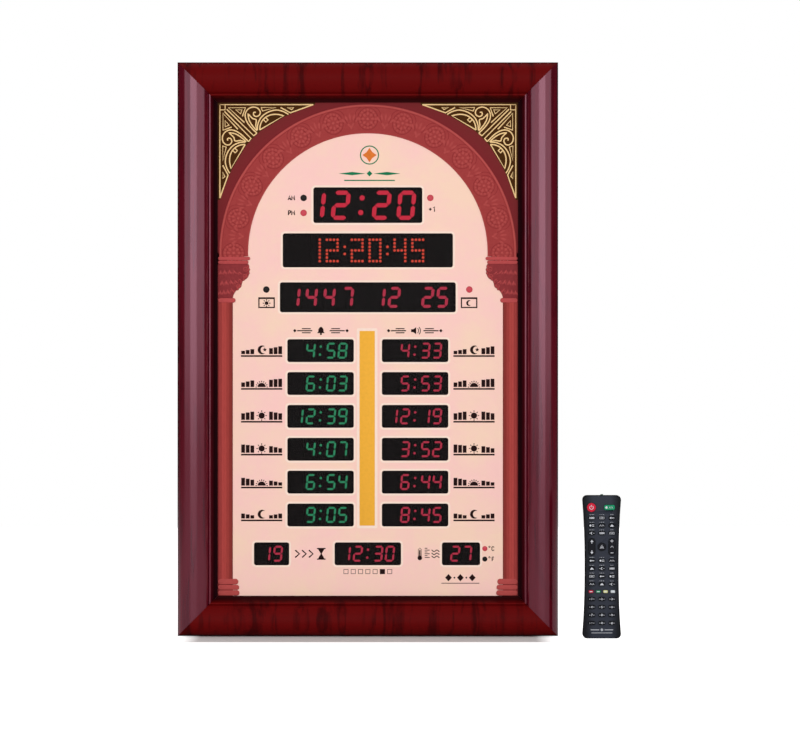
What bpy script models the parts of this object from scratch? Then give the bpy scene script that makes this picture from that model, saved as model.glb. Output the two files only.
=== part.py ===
"""Wall-hung prayer-time clock with LED displays, and the infrared remote control that sets it.

Metres. +X is to the right and +Z is up, seen from the front, and -Y is towards the viewer.
The origin is the middle of the frame's underside, on the surface that the clock stands on.
A height in front of the wall is measured from the frame's flat back, towards the viewer.
"""

import math

import bmesh
import bpy
from mathutils import Matrix

MM = 0.001

# Clearances and overlaps
seat_gap = 0.3 * MM
cutter_overrun = 1.0 * MM
fuse_overlap = 0.5 * MM

# Frame moulding
frame_width = 480.0 * MM
frame_height = 724.0 * MM
frame_depth = 50.0 * MM
moulding_width = 50.5 * MM
outer_wall_height = 31.0 * MM
crown_offset = 19.0 * MM
groove_offset = 39.4 * MM
groove_height = 40.0 * MM
bead_radius = 1.6 * MM
cove_step = 1.6 * MM
cove_sag_share = 0.22
lip_height = 30.8 * MM
lip_thickness = 2.0 * MM
panel_rabbet_width = 8.0 * MM
cover_rabbet_width = 15.0 * MM
cover_rabbet_depth = 2.8 * MM
mitre_clearance = 0.25 * MM
crown_fall_angle = math.radians(68.0)
crown_steps = 8
bead_steps = 5
cove_steps = 4

# Front sheets
overlay_thickness = 0.6 * MM
sheet_thickness = 3.0 * MM
sheet_side_clearance = 0.8 * MM

# Display windows in the printed overlay
window_corner_radius = 2.6 * MM
window_corner_steps = 2
time_window_width = 137.5 * MM
time_window_height = 45.0 * MM
message_window_width = 214.8 * MM
message_window_height = 43.0 * MM
date_window_width = 222.0 * MM
date_window_height = 37.8 * MM
prayer_window_width = 83.9 * MM
prayer_window_height = 28.9 * MM
countdown_window_width = 44.4 * MM
temperature_window_width = 48.2 * MM
indicator_radius = 4.2 * MM
small_indicator_radius = 3.3 * MM
prayer_row_count = 6
prayer_column_gap = 35.4 * MM
footer_left_margin = 45.8 * MM
footer_right_margin = 47.8 * MM

# How far the windows' middles lie above the visible panel's lower edge, as shares of its height
time_rise_share = 0.7918
message_rise_share = 0.7002
date_rise_share = 0.6051
first_prayer_rise_share = 0.4970
prayer_pitch_share = 0.0666
footer_rise_share = 0.0854

# Where the indicators lie, from the edges and the middles of the windows beside them
noon_indicator_gap = 12.3 * MM
noon_indicator_rise = 9.1 * MM
noon_indicator_drop = 9.8 * MM
summer_indicator_gap = 10.1 * MM
calendar_indicator_gap = 17.1 * MM
calendar_indicator_rise = 9.8 * MM
scale_indicator_gap = 6.0 * MM
scale_indicator_rise = 6.6 * MM

# Display boards
digit_block_depth = 8.0 * MM
digit_block_gap = 0.6 * MM
digit_block_margin = 0.5 * MM
board_thickness = 1.6 * MM
board_margin = 5.0 * MM
indicator_led_radius = 2.5 * MM
indicator_sides = 12
board_post_radius = 3.0 * MM
board_post_inset = 8.0 * MM
board_post_sides = 12
driver_chip_width = 10.3 * MM
driver_chip_height = 7.5 * MM
driver_chip_depth = 2.3 * MM
driver_chip_pitch = 34.0 * MM
backup_cell_radius = 10.0 * MM
backup_cell_depth = 3.2 * MM
backup_cell_sides = 24

# Rear cover
cover_thickness = 2.0 * MM
cover_side_clearance = 0.8 * MM
keyhole_spacing = 280.0 * MM
keyhole_drop = 84.0 * MM
keyhole_entry_radius = 5.5 * MM
keyhole_slot_width = 5.4 * MM
keyhole_slot_length = 13.0 * MM
keyhole_steps = 10
vent_slot_width = 26.0 * MM
vent_slot_height = 3.2 * MM
vent_slot_pitch = 9.0 * MM
vent_slot_count = 6
vent_corner_steps = 1
vent_offset_share = 0.30
vent_rise_share = 0.80

# Speaker
speaker_radius = 28.5 * MM
speaker_flange_thickness = 2.0 * MM
speaker_cone_radius = 24.5 * MM
speaker_surround_depth = 0.8 * MM
speaker_cone_depth = 6.5 * MM
speaker_cap_radius = 9.0 * MM
speaker_cap_rise = 2.5 * MM
speaker_basket_depth = 10.0 * MM
speaker_basket_radius = 19.0 * MM
speaker_magnet_radius = 15.0 * MM
speaker_depth = 17.5 * MM
speaker_steps = 24
speaker_drop = 37.0 * MM
speaker_hole_radius = 2.2 * MM
speaker_hole_pitch = 8.6 * MM
speaker_hole_sides = 8
speaker_hole_rings = 2

# Power jack
jack_body_width = 9.4 * MM
jack_body_height = 11.6 * MM
jack_body_depth = 12.5 * MM
jack_barrel_radius = 4.6 * MM
jack_bore_radius = 3.0 * MM
jack_bore_depth = 9.5 * MM
jack_pin_radius = 1.05 * MM
jack_pin_length = 8.0 * MM
jack_sides = 12
jack_inset = 19.0 * MM
jack_rise = 37.0 * MM

# Remote control
remote_height = 179.0 * MM
remote_end_half_width = 24.5 * MM
remote_waist_half_width = 21.1 * MM
remote_depth = 20.5 * MM
remote_spacing = 28.5 * MM
remote_advance = 50.0 * MM
remote_flare_power = 2.4
remote_corner_radius = 5.5 * MM
remote_corner_steps = 4
remote_side_steps = 9
remote_front_round = 1.7 * MM
remote_rear_round = 4.0 * MM
remote_round_segments = 3
remote_wall = 1.5 * MM
remote_face_wall = 1.6 * MM
remote_parting_depth = 7.6 * MM
remote_tongue = 0.9 * MM
remote_tongue_reach = 1.8 * MM
remote_rear_wall = 2.6 * MM

# Remote keys
key_rise = 1.5 * MM
key_edge_round = 0.6 * MM
key_clearance = 0.4 * MM
key_flange_margin = 0.9 * MM
key_flange_thickness = 0.7 * MM
key_travel = 1.0 * MM
key_corner_steps = 2
small_key_width = 7.8 * MM
small_key_height = 4.8 * MM
small_key_radius = 1.6 * MM
colour_key_width = 5.6 * MM
colour_key_height = 3.4 * MM
colour_key_radius = 1.2 * MM
mode_key_width = 13.6 * MM
mode_key_height = 6.4 * MM
mode_key_radius = 2.0 * MM
power_key_radius = 5.6 * MM
centre_key_radius = 5.0 * MM
round_key_sides = 16
rocker_width = 8.2 * MM
rocker_row_gap = 4.1 * MM
rocker_radius = 3.6 * MM
rocker_wing_height = 3.0 * MM
key_column_count = 3
function_row_count = 3
setting_row_count = 4
number_row_count = 4

# Where the keys lie, as shares of the remote's height and of its waist's half width
key_column_share = 0.595
power_key_shares = (-0.620, 0.9155)
mode_key_shares = (0.450, 0.9155)
function_row_share = 0.8425
function_pitch_share = 0.0530
setting_row_share = 0.5440
setting_pitch_share = 0.0546
colour_row_share = 0.3280
colour_pitch_share = 0.4300
number_row_share = 0.2760
number_pitch_share = 0.0559

# Remote circuit board and infrared diode
remote_board_thickness = 1.2 * MM
remote_board_clearance = 0.4 * MM
diode_radius = 2.0 * MM
diode_protrusion = 1.4 * MM
diode_length = 9.0 * MM
diode_dome = 0.9 * MM
diode_sides = 14
diode_hole_clearance = 0.4 * MM

# Remote battery bay, cells and cover
cell_radius = 5.2 * MM
cell_length = 43.4 * MM
cell_nub_radius = 1.9 * MM
cell_nub_length = 1.1 * MM
cell_edge = 0.5 * MM
cell_steps = 14
bay_clearance = 0.4 * MM
bay_wall = 1.2 * MM
bay_floor = 1.1 * MM
bay_end_room = 2.4 * MM
bay_centre_share = 0.285
battery_cover_thickness = 1.5 * MM
battery_cover_rim = 1.4 * MM
battery_cover_round = 0.4 * MM
grip_rib_count = 5
grip_rib_width = 14.0 * MM
grip_rib_height = 0.9 * MM
grip_rib_rise = 0.5 * MM
grip_rib_pitch = 2.4 * MM
grip_top_margin = 7.0 * MM

# Worked out from the sizes above
panel_width = frame_width - 2 * moulding_width
panel_height = frame_height - 2 * moulding_width
overlay_front = lip_height - lip_thickness - seat_gap
overlay_back = overlay_front - overlay_thickness
sheet_front = overlay_back - seat_gap
sheet_back = sheet_front - sheet_thickness
block_front = sheet_back - seat_gap
board_front = block_front - digit_block_depth
board_back = board_front - board_thickness
cover_front = cover_rabbet_depth - seat_gap
cover_back = cover_front - cover_thickness
remote_x = frame_width / 2 + remote_spacing + remote_end_half_width
remote_front_y = -remote_advance - remote_depth / 2
key_back_depth = remote_face_wall + seat_gap + key_flange_thickness
remote_board_front = key_back_depth + key_travel + seat_gap
remote_board_back = remote_board_front + remote_board_thickness
remote_cavity_inset = remote_wall + seat_gap + remote_tongue
bay_floor_front = remote_board_back + seat_gap
bay_floor_back = bay_floor_front + bay_floor
cell_depth = bay_floor_back + seat_gap + cell_radius
bay_width = 4 * cell_radius + 3 * bay_clearance
bay_length = cell_length + cell_nub_length + bay_end_room
bay_centre_z = bay_centre_share * remote_height
last_function_share = function_row_share - (function_row_count - 1) * function_pitch_share
rocker_room = (last_function_share - setting_row_share) * remote_height - small_key_height
rocker_height = rocker_room - 2 * rocker_row_gap
rocker_z_share = (last_function_share + setting_row_share) / 2


def wall_y(height):
    """The Y of a height in front of the wall."""
    return frame_depth / 2 - height


def panel_z(share):
    """The Z of a place on the panel, as a share of its visible height from the lower edge."""
    return moulding_width + share * panel_height


def remote_y(depth):
    """The Y of a depth behind the remote's face."""
    return remote_front_y + depth


# Scene, collections and materials


def clear_scene():
    """Removes the objects that the file opened with."""
    for item in list(bpy.data.objects):
        bpy.data.objects.remove(item)


def new_collection(name):
    """A collection linked to the scene."""
    collection = bpy.data.collections.new(name)
    bpy.context.scene.collection.children.link(collection)
    return collection


def new_material(name, colour, roughness, metallic=0.0):
    """A Principled material of one colour."""
    material = bpy.data.materials.new(name)
    material.use_nodes = True
    shader = material.node_tree.nodes["Principled BSDF"]
    shader.inputs["Base Color"].default_value = (*colour, 1.0)
    shader.inputs["Roughness"].default_value = roughness
    shader.inputs["Metallic"].default_value = metallic
    material.diffuse_color = (*colour, 1.0)
    return material


clear_scene()
parts = new_collection("prayer_clock")
cutters = new_collection("cutters")

mahogany = new_material("mahogany_foil", (0.105, 0.006, 0.012), 0.25)
printed_film = new_material("printed_film", (0.92, 0.62, 0.50), 0.5)
smoked_acrylic = new_material("smoked_acrylic", (0.01, 0.01, 0.011), 0.1)
circuit_board = new_material("circuit_board", (0.02, 0.09, 0.04), 0.5)
rear_board = new_material("rear_board", (0.03, 0.03, 0.032), 0.6)
speaker_paper = new_material("speaker_paper", (0.02, 0.02, 0.02), 0.8)
jack_plastic = new_material("jack_plastic", (0.012, 0.012, 0.012), 0.4)
remote_plastic = new_material("remote_plastic", (0.012, 0.013, 0.016), 0.4)
key_rubber = new_material("key_rubber", (0.05, 0.05, 0.062), 0.6)
red_rubber = new_material("red_rubber", (0.62, 0.03, 0.05), 0.5)
green_rubber = new_material("green_rubber", (0.02, 0.30, 0.17), 0.5)
yellow_rubber = new_material("yellow_rubber", (0.75, 0.68, 0.20), 0.5)
white_rubber = new_material("white_rubber", (0.72, 0.74, 0.76), 0.5)
cell_sleeve = new_material("cell_sleeve", (0.35, 0.32, 0.28), 0.3, 0.6)


# Shape helpers


def rounded_rectangle(width, height, radius, steps):
    """Points (x, z) of a rectangle with round corners about the origin."""
    points = []
    for quarter, (side, end) in enumerate(((1, 1), (-1, 1), (-1, -1), (1, -1))):
        for step in range(steps + 1):
            angle = math.pi / 2 * (quarter + step / steps)
            points.append((
                side * (width / 2 - radius) + radius * math.cos(angle),
                end * (height / 2 - radius) + radius * math.sin(angle),
            ))
    return points


def circle(radius, sides):
    """Points (x, z) of a circle about the origin."""
    return [
        (radius * math.cos(math.tau * i / sides), radius * math.sin(math.tau * i / sides))
        for i in range(sides)
    ]


def shifted(points, x, z):
    """The points moved by x and z."""
    return [(px + x, pz + z) for px, pz in points]


def add_prism(mesh, points, near, far):
    """Extrudes an outline of (x, z) points from one Y to another, and returns its far face."""
    corners = [mesh.verts.new((x, near, z)) for x, z in points]
    face = mesh.faces.new(corners)
    made = bmesh.ops.extrude_face_region(mesh, geom=[face])["geom"]
    moved = [item for item in made if isinstance(item, bmesh.types.BMVert)]
    bmesh.ops.translate(mesh, verts=moved, vec=(0, far - near, 0))
    return next(item for item in made if isinstance(item, bmesh.types.BMFace))


def add_box(mesh, low, high):
    """Adds a box between two corners."""
    size = [b - a for a, b in zip(low, high)]
    middle = [(a + b) / 2 for a, b in zip(low, high)]
    place = Matrix.Translation(middle) @ Matrix.Diagonal((*size, 1.0))
    bmesh.ops.create_cube(mesh, size=1.0, matrix=place)


def finish_mesh(name, mesh, collection, parent=None, location=(0, 0, 0)):
    """Turns a bmesh into an object whose faces point outwards."""
    bmesh.ops.recalc_face_normals(mesh, faces=mesh.faces)
    if mesh.calc_volume(signed=True) < 0:
        bmesh.ops.reverse_faces(mesh, faces=mesh.faces)
    data = bpy.data.meshes.new(name)
    mesh.to_mesh(data)
    mesh.free()
    item = bpy.data.objects.new(name, data)
    collection.objects.link(item)
    item.parent = parent
    item.location = location
    return item


def new_part(name, mesh, material, parent, location=(0, 0, 0), smooth_angle=None):
    """A piece of the object."""
    item = finish_mesh(name, mesh, parts, parent, location)
    item.data.materials.append(material)
    if smooth_angle is not None:
        item.data.shade_smooth()
        item.data.set_sharp_from_angle(angle=math.radians(smooth_angle))
    return item


def new_cutter(name, mesh, parent=None, location=(0, 0, 0)):
    """A helper that a Boolean uses and a render leaves out."""
    item = finish_mesh(name, mesh, cutters, parent, location)
    item.hide_render = True
    item.display_type = "WIRE"
    return item


def combine(item, other, operation):
    """Cuts another solid from this one, or fuses it on."""
    modifier = item.modifiers.new(f"{operation.lower()}_{other.name}", "BOOLEAN")
    modifier.operation = operation
    modifier.object = other
    modifier.solver = "EXACT"


def new_empty(name, location):
    """A carrier that pieces are parented to."""
    item = bpy.data.objects.new(name, None)
    parts.objects.link(item)
    item.location = location
    return item


def turned_part(name, profile, steps, material, parent, location, rotation=(0, 0, 0)):
    """A profile of (radius, z) points, from the top of its axis down its outside, turned about Z."""
    mesh = bmesh.new()
    corners = [mesh.verts.new((radius, 0, z)) for radius, z in profile]
    for first, second in zip(corners, corners[1:]):
        mesh.edges.new((first, second))
    data = bpy.data.meshes.new(name)
    mesh.to_mesh(data)
    mesh.free()
    item = bpy.data.objects.new(name, data)
    parts.objects.link(item)
    item.parent = parent
    item.location = location
    item.rotation_euler = rotation
    item.data.materials.append(material)
    screw = item.modifiers.new("turn", "SCREW")
    screw.steps = steps
    screw.render_steps = steps
    screw.use_merge_vertices = True
    screw.merge_threshold = 0.01 * MM
    screw.use_smooth_shade = True
    return item


# Frame


def moulding_outline():
    """The moulding's section, as (offset from its outer edge, height in front of the wall)."""
    points = [(0, 0)]
    for step in range(crown_steps + 1):
        angle = math.pi / 2 * step / crown_steps
        points.append((
            crown_offset * (1 - math.cos(angle)),
            outer_wall_height + (frame_depth - outer_wall_height) * math.sin(angle),
        ))
    fall_width = groove_offset - crown_offset
    fall_height = frame_depth - groove_height
    for step in range(1, crown_steps + 1):
        angle = crown_fall_angle * step / crown_steps
        points.append((
            crown_offset + fall_width * math.sin(angle) / math.sin(crown_fall_angle),
            frame_depth - fall_height * (1 - math.cos(angle)) / (1 - math.cos(crown_fall_angle)),
        ))
    for step in range(1, bead_steps + 1):
        angle = math.pi * (1 - step / bead_steps)
        points.append((
            groove_offset + bead_radius * (1 + math.cos(angle)),
            groove_height + bead_radius * math.sin(angle),
        ))
    cove_start = (groove_offset + 2 * bead_radius, groove_height - cove_step)
    cove_fall = cove_start[1] - lip_height
    for step in range(cove_steps + 1):
        share = step / cove_steps
        points.append((
            cove_start[0] + (moulding_width - cove_start[0]) * share,
            cove_start[1] - cove_fall * (share + cove_sag_share * math.sin(math.pi * share)),
        ))
    lip_back = lip_height - lip_thickness
    points.append((moulding_width, lip_back))
    points.append((moulding_width - panel_rabbet_width, lip_back))
    points.append((moulding_width - panel_rabbet_width, cover_rabbet_depth))
    points.append((moulding_width - cover_rabbet_width, cover_rabbet_depth))
    points.append((moulding_width - cover_rabbet_width, 0))
    return points


def mitred_rail(name, length, place, parent):
    """One length of moulding: the section extruded, with each end sheared to its mitre."""
    mesh = bmesh.new()
    section = [mesh.verts.new((-1, offset, height)) for offset, height in moulding_outline()]
    made = bmesh.ops.extrude_face_region(mesh, geom=[mesh.faces.new(section)])["geom"]
    moved = [item for item in made if isinstance(item, bmesh.types.BMVert)]
    bmesh.ops.translate(mesh, verts=moved, vec=(2, 0, 0))
    for vert in mesh.verts:
        side, offset, height = vert.co
        vert.co = place(side * (length / 2 - offset - mitre_clearance), offset, height)
    return new_part(name, mesh, mahogany, parent, smooth_angle=35)


def build_frame(clock):
    """Four mitred lengths of moulding."""
    half_width = frame_width / 2
    half_height = frame_height / 2
    mitred_rail(
        "frame_top_rail", frame_width,
        lambda along, offset, height: (along, wall_y(height), frame_height - offset), clock)
    mitred_rail(
        "frame_bottom_rail", frame_width,
        lambda along, offset, height: (along, wall_y(height), offset), clock)
    mitred_rail(
        "frame_left_stile", frame_height,
        lambda along, offset, height: (offset - half_width, wall_y(height), half_height + along), clock)
    mitred_rail(
        "frame_right_stile", frame_height,
        lambda along, offset, height: (half_width - offset, wall_y(height), half_height + along), clock)


# Front sheets and their windows


def prayer_rises():
    """The rise share of each prayer row, top to bottom."""
    return [first_prayer_rise_share - row * prayer_pitch_share for row in range(prayer_row_count)]


def upper_windows():
    """(x, z, width, height, digit blocks) of the time, message and date windows."""
    return [
        (0, panel_z(time_rise_share), time_window_width, time_window_height, 4),
        (0, panel_z(message_rise_share), message_window_width, message_window_height, 6),
        (0, panel_z(date_rise_share), date_window_width, date_window_height, 8),
    ]


def prayer_windows():
    """The two columns of prayer windows."""
    column = (prayer_window_width + prayer_column_gap) / 2
    return [
        (side * column, panel_z(rise), prayer_window_width, prayer_window_height, 4)
        for side in (-1, 1)
        for rise in prayer_rises()
    ]


def footer_windows():
    """The countdown, midday-prayer and temperature windows."""
    rise = panel_z(footer_rise_share)
    countdown = footer_left_margin + countdown_window_width / 2 - panel_width / 2
    temperature = panel_width / 2 - footer_right_margin - temperature_window_width / 2
    return [
        (countdown, rise, countdown_window_width, prayer_window_height, 2),
        (0, rise, prayer_window_width, prayer_window_height, 4),
        (temperature, rise, temperature_window_width, prayer_window_height, 2),
    ]


def upper_indicators():
    """(x, z) of the indicators beside the time window, two left and one right, and beside the date."""
    left = -time_window_width / 2 - noon_indicator_gap
    right = time_window_width / 2 + summer_indicator_gap
    middle = panel_z(time_rise_share)
    calendar = date_window_width / 2 + calendar_indicator_gap
    calendar_z = panel_z(date_rise_share) + calendar_indicator_rise
    return [
        (left, middle + noon_indicator_rise),
        (left, middle - noon_indicator_drop),
        (right, middle + noon_indicator_rise),
        (-calendar, calendar_z),
        (calendar, calendar_z),
    ]


def scale_indicators():
    """(x, z) of the two temperature-scale indicators, right of the temperature window."""
    x = panel_width / 2 - footer_right_margin + scale_indicator_gap
    middle = panel_z(footer_rise_share)
    return [(x, middle + scale_indicator_rise), (x, middle - scale_indicator_rise)]


def sheet_corners():
    """Half the width, and the lowest and highest Z, of a sheet in the panel rabbet."""
    reach = panel_rabbet_width - sheet_side_clearance
    return panel_width / 2 + reach, moulding_width - reach, frame_height - moulding_width + reach


def build_front_sheets(clock):
    """The printed film with its windows, and the smoked sheet behind it."""
    half, low, high = sheet_corners()
    mesh = bmesh.new()
    add_box(mesh, (-half, wall_y(overlay_front), low), (half, wall_y(overlay_back), high))
    overlay = new_part("printed_overlay", mesh, printed_film, clock)

    holes = bmesh.new()
    near = wall_y(overlay_front) - cutter_overrun
    far = wall_y(overlay_back) + cutter_overrun
    for x, z, width, height, _ in upper_windows() + prayer_windows() + footer_windows():
        outline = rounded_rectangle(width, height, window_corner_radius, window_corner_steps)
        add_prism(holes, shifted(outline, x, z), near, far)
    for places, radius in (
        (upper_indicators(), indicator_radius),
        (scale_indicators(), small_indicator_radius),
    ):
        for x, z in places:
            add_prism(holes, shifted(circle(radius, indicator_sides), x, z), near, far)
    combine(overlay, new_cutter("window_cutter", holes), "DIFFERENCE")

    mesh = bmesh.new()
    add_box(mesh, (-half, wall_y(sheet_front), low), (half, wall_y(sheet_back), high))
    new_part("smoked_window_sheet", mesh, smoked_acrylic, clock)


# Display boards


def add_digit_blocks(mesh, window):
    """The row of LED modules behind one window."""
    x, z, width, height, count = window
    full_width = width + 2 * digit_block_margin
    block_width = (full_width - (count - 1) * digit_block_gap) / count
    block_height = height + 2 * digit_block_margin
    for index in range(count):
        middle = x - full_width / 2 + block_width / 2 + index * (block_width + digit_block_gap)
        add_box(
            mesh,
            (middle - block_width / 2, wall_y(block_front), z - block_height / 2),
            (middle + block_width / 2, wall_y(board_front) + fuse_overlap, z + block_height / 2),
        )


def build_display_board(name, windows, indicators, clock, chip_rows, backup_cell=False):
    """A board with its LED modules, indicator diodes, driver chips and rear posts soldered on."""
    edge = board_margin + digit_block_margin
    left = min([w[0] - w[2] / 2 for w in windows] + [x for x, _ in indicators]) - edge
    right = max([w[0] + w[2] / 2 for w in windows] + [x for x, _ in indicators]) + edge
    low = min(w[1] - w[3] / 2 for w in windows) - edge
    high = max(w[1] + w[3] / 2 for w in windows) + edge

    mesh = bmesh.new()
    add_box(mesh, (left, wall_y(board_front), low), (right, wall_y(board_back), high))
    board = new_part(name, mesh, circuit_board, clock)

    modules = bmesh.new()
    for window in windows:
        add_digit_blocks(modules, window)
    for x, z in indicators:
        lens = shifted(circle(indicator_led_radius, indicator_sides), x, z)
        add_prism(modules, lens, wall_y(block_front), wall_y(board_front) + fuse_overlap)
    combine(board, new_cutter(f"{name}_modules", modules), "UNION")

    rear = bmesh.new()
    root_y = wall_y(board_back) - fuse_overlap
    for x in (left + board_post_inset, right - board_post_inset):
        for z in (low + board_post_inset, high - board_post_inset):
            post = shifted(circle(board_post_radius, board_post_sides), x, z)
            add_prism(rear, post, root_y, wall_y(cover_front + seat_gap))
    room = right - left - 4 * board_post_inset
    chip_count = int(room / driver_chip_pitch)
    for row in range(chip_rows):
        z = low + (high - low) * (row + 1) / (chip_rows + 1)
        for index in range(chip_count):
            x = (left + right) / 2 + (index - (chip_count - 1) / 2) * driver_chip_pitch
            chip_back = wall_y(board_back - driver_chip_depth)
            add_box(
                rear,
                (x - driver_chip_width / 2, root_y, z - driver_chip_height / 2),
                (x + driver_chip_width / 2, chip_back, z + driver_chip_height / 2),
            )
    if backup_cell:
        z = high - board_post_inset - backup_cell_radius
        outline = shifted(circle(backup_cell_radius, backup_cell_sides), (left + right) / 2, z)
        add_prism(rear, outline, root_y, wall_y(board_back - backup_cell_depth))
    combine(board, new_cutter(f"{name}_rear_components", rear), "UNION")


def build_display_boards(clock):
    """The three boards that carry every LED module of the face."""
    build_display_board(
        "upper_display_board", upper_windows(), upper_indicators(), clock, 2, True)
    build_display_board("prayer_display_board", prayer_windows(), [], clock, 3)
    build_display_board(
        "footer_display_board", footer_windows(), scale_indicators(), clock, 1)


# Rear cover, speaker and power jack


def keyhole_outline():
    """A round entry with a narrow slot above it that ends in a half circle."""
    half_slot = keyhole_slot_width / 2
    opening = math.asin(half_slot / keyhole_entry_radius)
    points = []
    for step in range(keyhole_steps + 1):
        angle = math.pi / 2 + opening + (math.tau - 2 * opening) * step / keyhole_steps
        points.append((keyhole_entry_radius * math.cos(angle), keyhole_entry_radius * math.sin(angle)))
    for step in range(keyhole_steps // 2 + 1):
        angle = math.pi * step / (keyhole_steps // 2)
        points.append((half_slot * math.cos(angle), keyhole_slot_length + half_slot * math.sin(angle)))
    return points


def speaker_place():
    """(x, z) of the speaker's axis, in the middle above the upper board."""
    return 0, frame_height - moulding_width - speaker_drop


def jack_place():
    """(x, z) of the power jack's axis, in the lower left corner seen from the front."""
    return jack_inset - panel_width / 2, moulding_width + jack_rise


def build_rear_cover(clock):
    """The back sheet, with keyholes to hang it by, a speaker grille, vents and the jack's hole."""
    reach = cover_rabbet_width - cover_side_clearance
    half = panel_width / 2 + reach
    low = moulding_width - reach
    high = frame_height - moulding_width + reach
    mesh = bmesh.new()
    add_box(mesh, (-half, wall_y(cover_front), low), (half, wall_y(cover_back), high))
    cover = new_part("rear_cover", mesh, rear_board, clock)

    holes = bmesh.new()
    near = wall_y(cover_front) - cutter_overrun
    far = wall_y(cover_back) + cutter_overrun
    for side in (-1, 1):
        place = (side * keyhole_spacing / 2, frame_height - keyhole_drop)
        add_prism(holes, shifted(keyhole_outline(), *place), near, far)
        end_radius = vent_slot_height / 2
        slot = rounded_rectangle(vent_slot_width, vent_slot_height, end_radius, vent_corner_steps)
        for index in range(vent_slot_count):
            rise = panel_z(vent_rise_share) - index * vent_slot_pitch
            add_prism(holes, shifted(slot, side * vent_offset_share * panel_width, rise), near, far)
    speaker_x, speaker_z = speaker_place()
    hole = circle(speaker_hole_radius, speaker_hole_sides)
    add_prism(holes, shifted(hole, speaker_x, speaker_z), near, far)
    for ring in range(1, speaker_hole_rings + 1):
        for index in range(6 * ring):
            angle = math.tau * index / (6 * ring)
            x = speaker_x + ring * speaker_hole_pitch * math.cos(angle)
            z = speaker_z + ring * speaker_hole_pitch * math.sin(angle)
            add_prism(holes, shifted(hole, x, z), near, far)
    jack_hole = circle(jack_barrel_radius + seat_gap, jack_sides)
    add_prism(holes, shifted(jack_hole, *jack_place()), near, far)
    combine(cover, new_cutter("rear_cover_holes", holes), "DIFFERENCE")


def build_speaker(clock):
    """A paper-cone speaker that faces the grille: basket, magnet, surround, cone and dust cap."""
    x, z = speaker_place()
    diagonal = math.cos(math.pi / 4)
    profile = [
        (0, speaker_depth),
        (speaker_magnet_radius, speaker_depth),
        (speaker_magnet_radius, speaker_basket_depth),
        (speaker_basket_radius, speaker_basket_depth),
        (speaker_radius, speaker_flange_thickness),
        (speaker_radius, 0),
        (speaker_cone_radius, 0),
        (speaker_cone_radius, speaker_surround_depth),
        (speaker_cap_radius, speaker_cone_depth),
        (speaker_cap_radius * diagonal, speaker_cone_depth - speaker_cap_rise * diagonal),
        (0, speaker_cone_depth - speaker_cap_rise),
    ]
    turned_part(
        "speaker", profile, speaker_steps, speaker_paper, clock,
        (x, wall_y(cover_front + seat_gap), z), (math.pi / 2, 0, 0))


def build_power_jack(clock):
    """A barrel jack with its bore and centre pin, whose mouth fills the rear cover's hole."""
    x, z = jack_place()
    body_back = cover_front + seat_gap
    mesh = bmesh.new()
    add_box(
        mesh,
        (-jack_body_width / 2, wall_y(body_back + jack_body_depth), -jack_body_height / 2),
        (jack_body_width / 2, wall_y(body_back), jack_body_height / 2),
    )
    jack = new_part("power_jack", mesh, jack_plastic, clock, (x, 0, z))

    barrel = bmesh.new()
    barrel_root = wall_y(body_back + fuse_overlap)
    add_prism(barrel, circle(jack_barrel_radius, jack_sides), barrel_root, wall_y(cover_back))
    combine(jack, new_cutter("jack_barrel", barrel, clock, (x, 0, z)), "UNION")

    bore = bmesh.new()
    bore_end = wall_y(cover_back + jack_bore_depth)
    add_prism(bore, circle(jack_bore_radius, jack_sides), bore_end, wall_y(cover_back) + cutter_overrun)
    combine(jack, new_cutter("jack_bore", bore, clock, (x, 0, z)), "DIFFERENCE")

    pin = bmesh.new()
    pin_root = bore_end - fuse_overlap
    add_prism(pin, circle(jack_pin_radius, jack_sides // 2), pin_root, bore_end + jack_pin_length)
    combine(jack, new_cutter("jack_pin", pin, clock, (x, 0, z)), "UNION")


# Remote control shells


def remote_half_width(z):
    """Half the remote's width at a height: narrow at the waist, flared at both ends."""
    share = abs(2 * z / remote_height - 1)
    flare = remote_end_half_width - remote_waist_half_width
    return remote_waist_half_width + flare * share ** remote_flare_power


def remote_outline(inset):
    """The remote's outline, drawn in by an inset, as (x, z) points."""
    radius = remote_corner_radius - inset
    low = inset
    high = remote_height - inset
    right = []
    for step in range(remote_corner_steps + 1):
        angle = -math.pi / 2 + math.pi / 2 * step / remote_corner_steps
        reach = remote_half_width(low + radius) - inset - radius
        right.append((reach + radius * math.cos(angle), low + radius + radius * math.sin(angle)))
    for step in range(1, remote_side_steps):
        z = low + radius + (high - low - 2 * radius) * step / remote_side_steps
        right.append((remote_half_width(z) - inset, z))
    for step in range(remote_corner_steps + 1):
        angle = math.pi / 2 * step / remote_corner_steps
        reach = remote_half_width(high - radius) - inset - radius
        right.append((reach + radius * math.cos(angle), high - radius + radius * math.sin(angle)))
    return right + [(-x, z) for x, z in reversed(right)]


def remote_half_shell(near, far, round_y, round_width):
    """A prism of the remote's outline, with the edge at one Y rounded."""
    mesh = bmesh.new()
    add_prism(mesh, remote_outline(0), near, far)
    edges = [e for e in mesh.edges if all(abs(v.co.y - round_y) < seat_gap for v in e.verts)]
    bmesh.ops.bevel(
        mesh, geom=edges, offset=round_width, offset_type="OFFSET", segments=remote_round_segments,
        profile=0.5, affect="EDGES", clamp_overlap=False, material=-1)
    return mesh


def outline_cutter(name, inset, near_depth, far_depth, remote):
    """A helper prism of the remote's outline between two depths."""
    mesh = bmesh.new()
    add_prism(mesh, remote_outline(inset), remote_y(near_depth), remote_y(far_depth))
    return new_cutter(name, mesh, remote)


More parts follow.
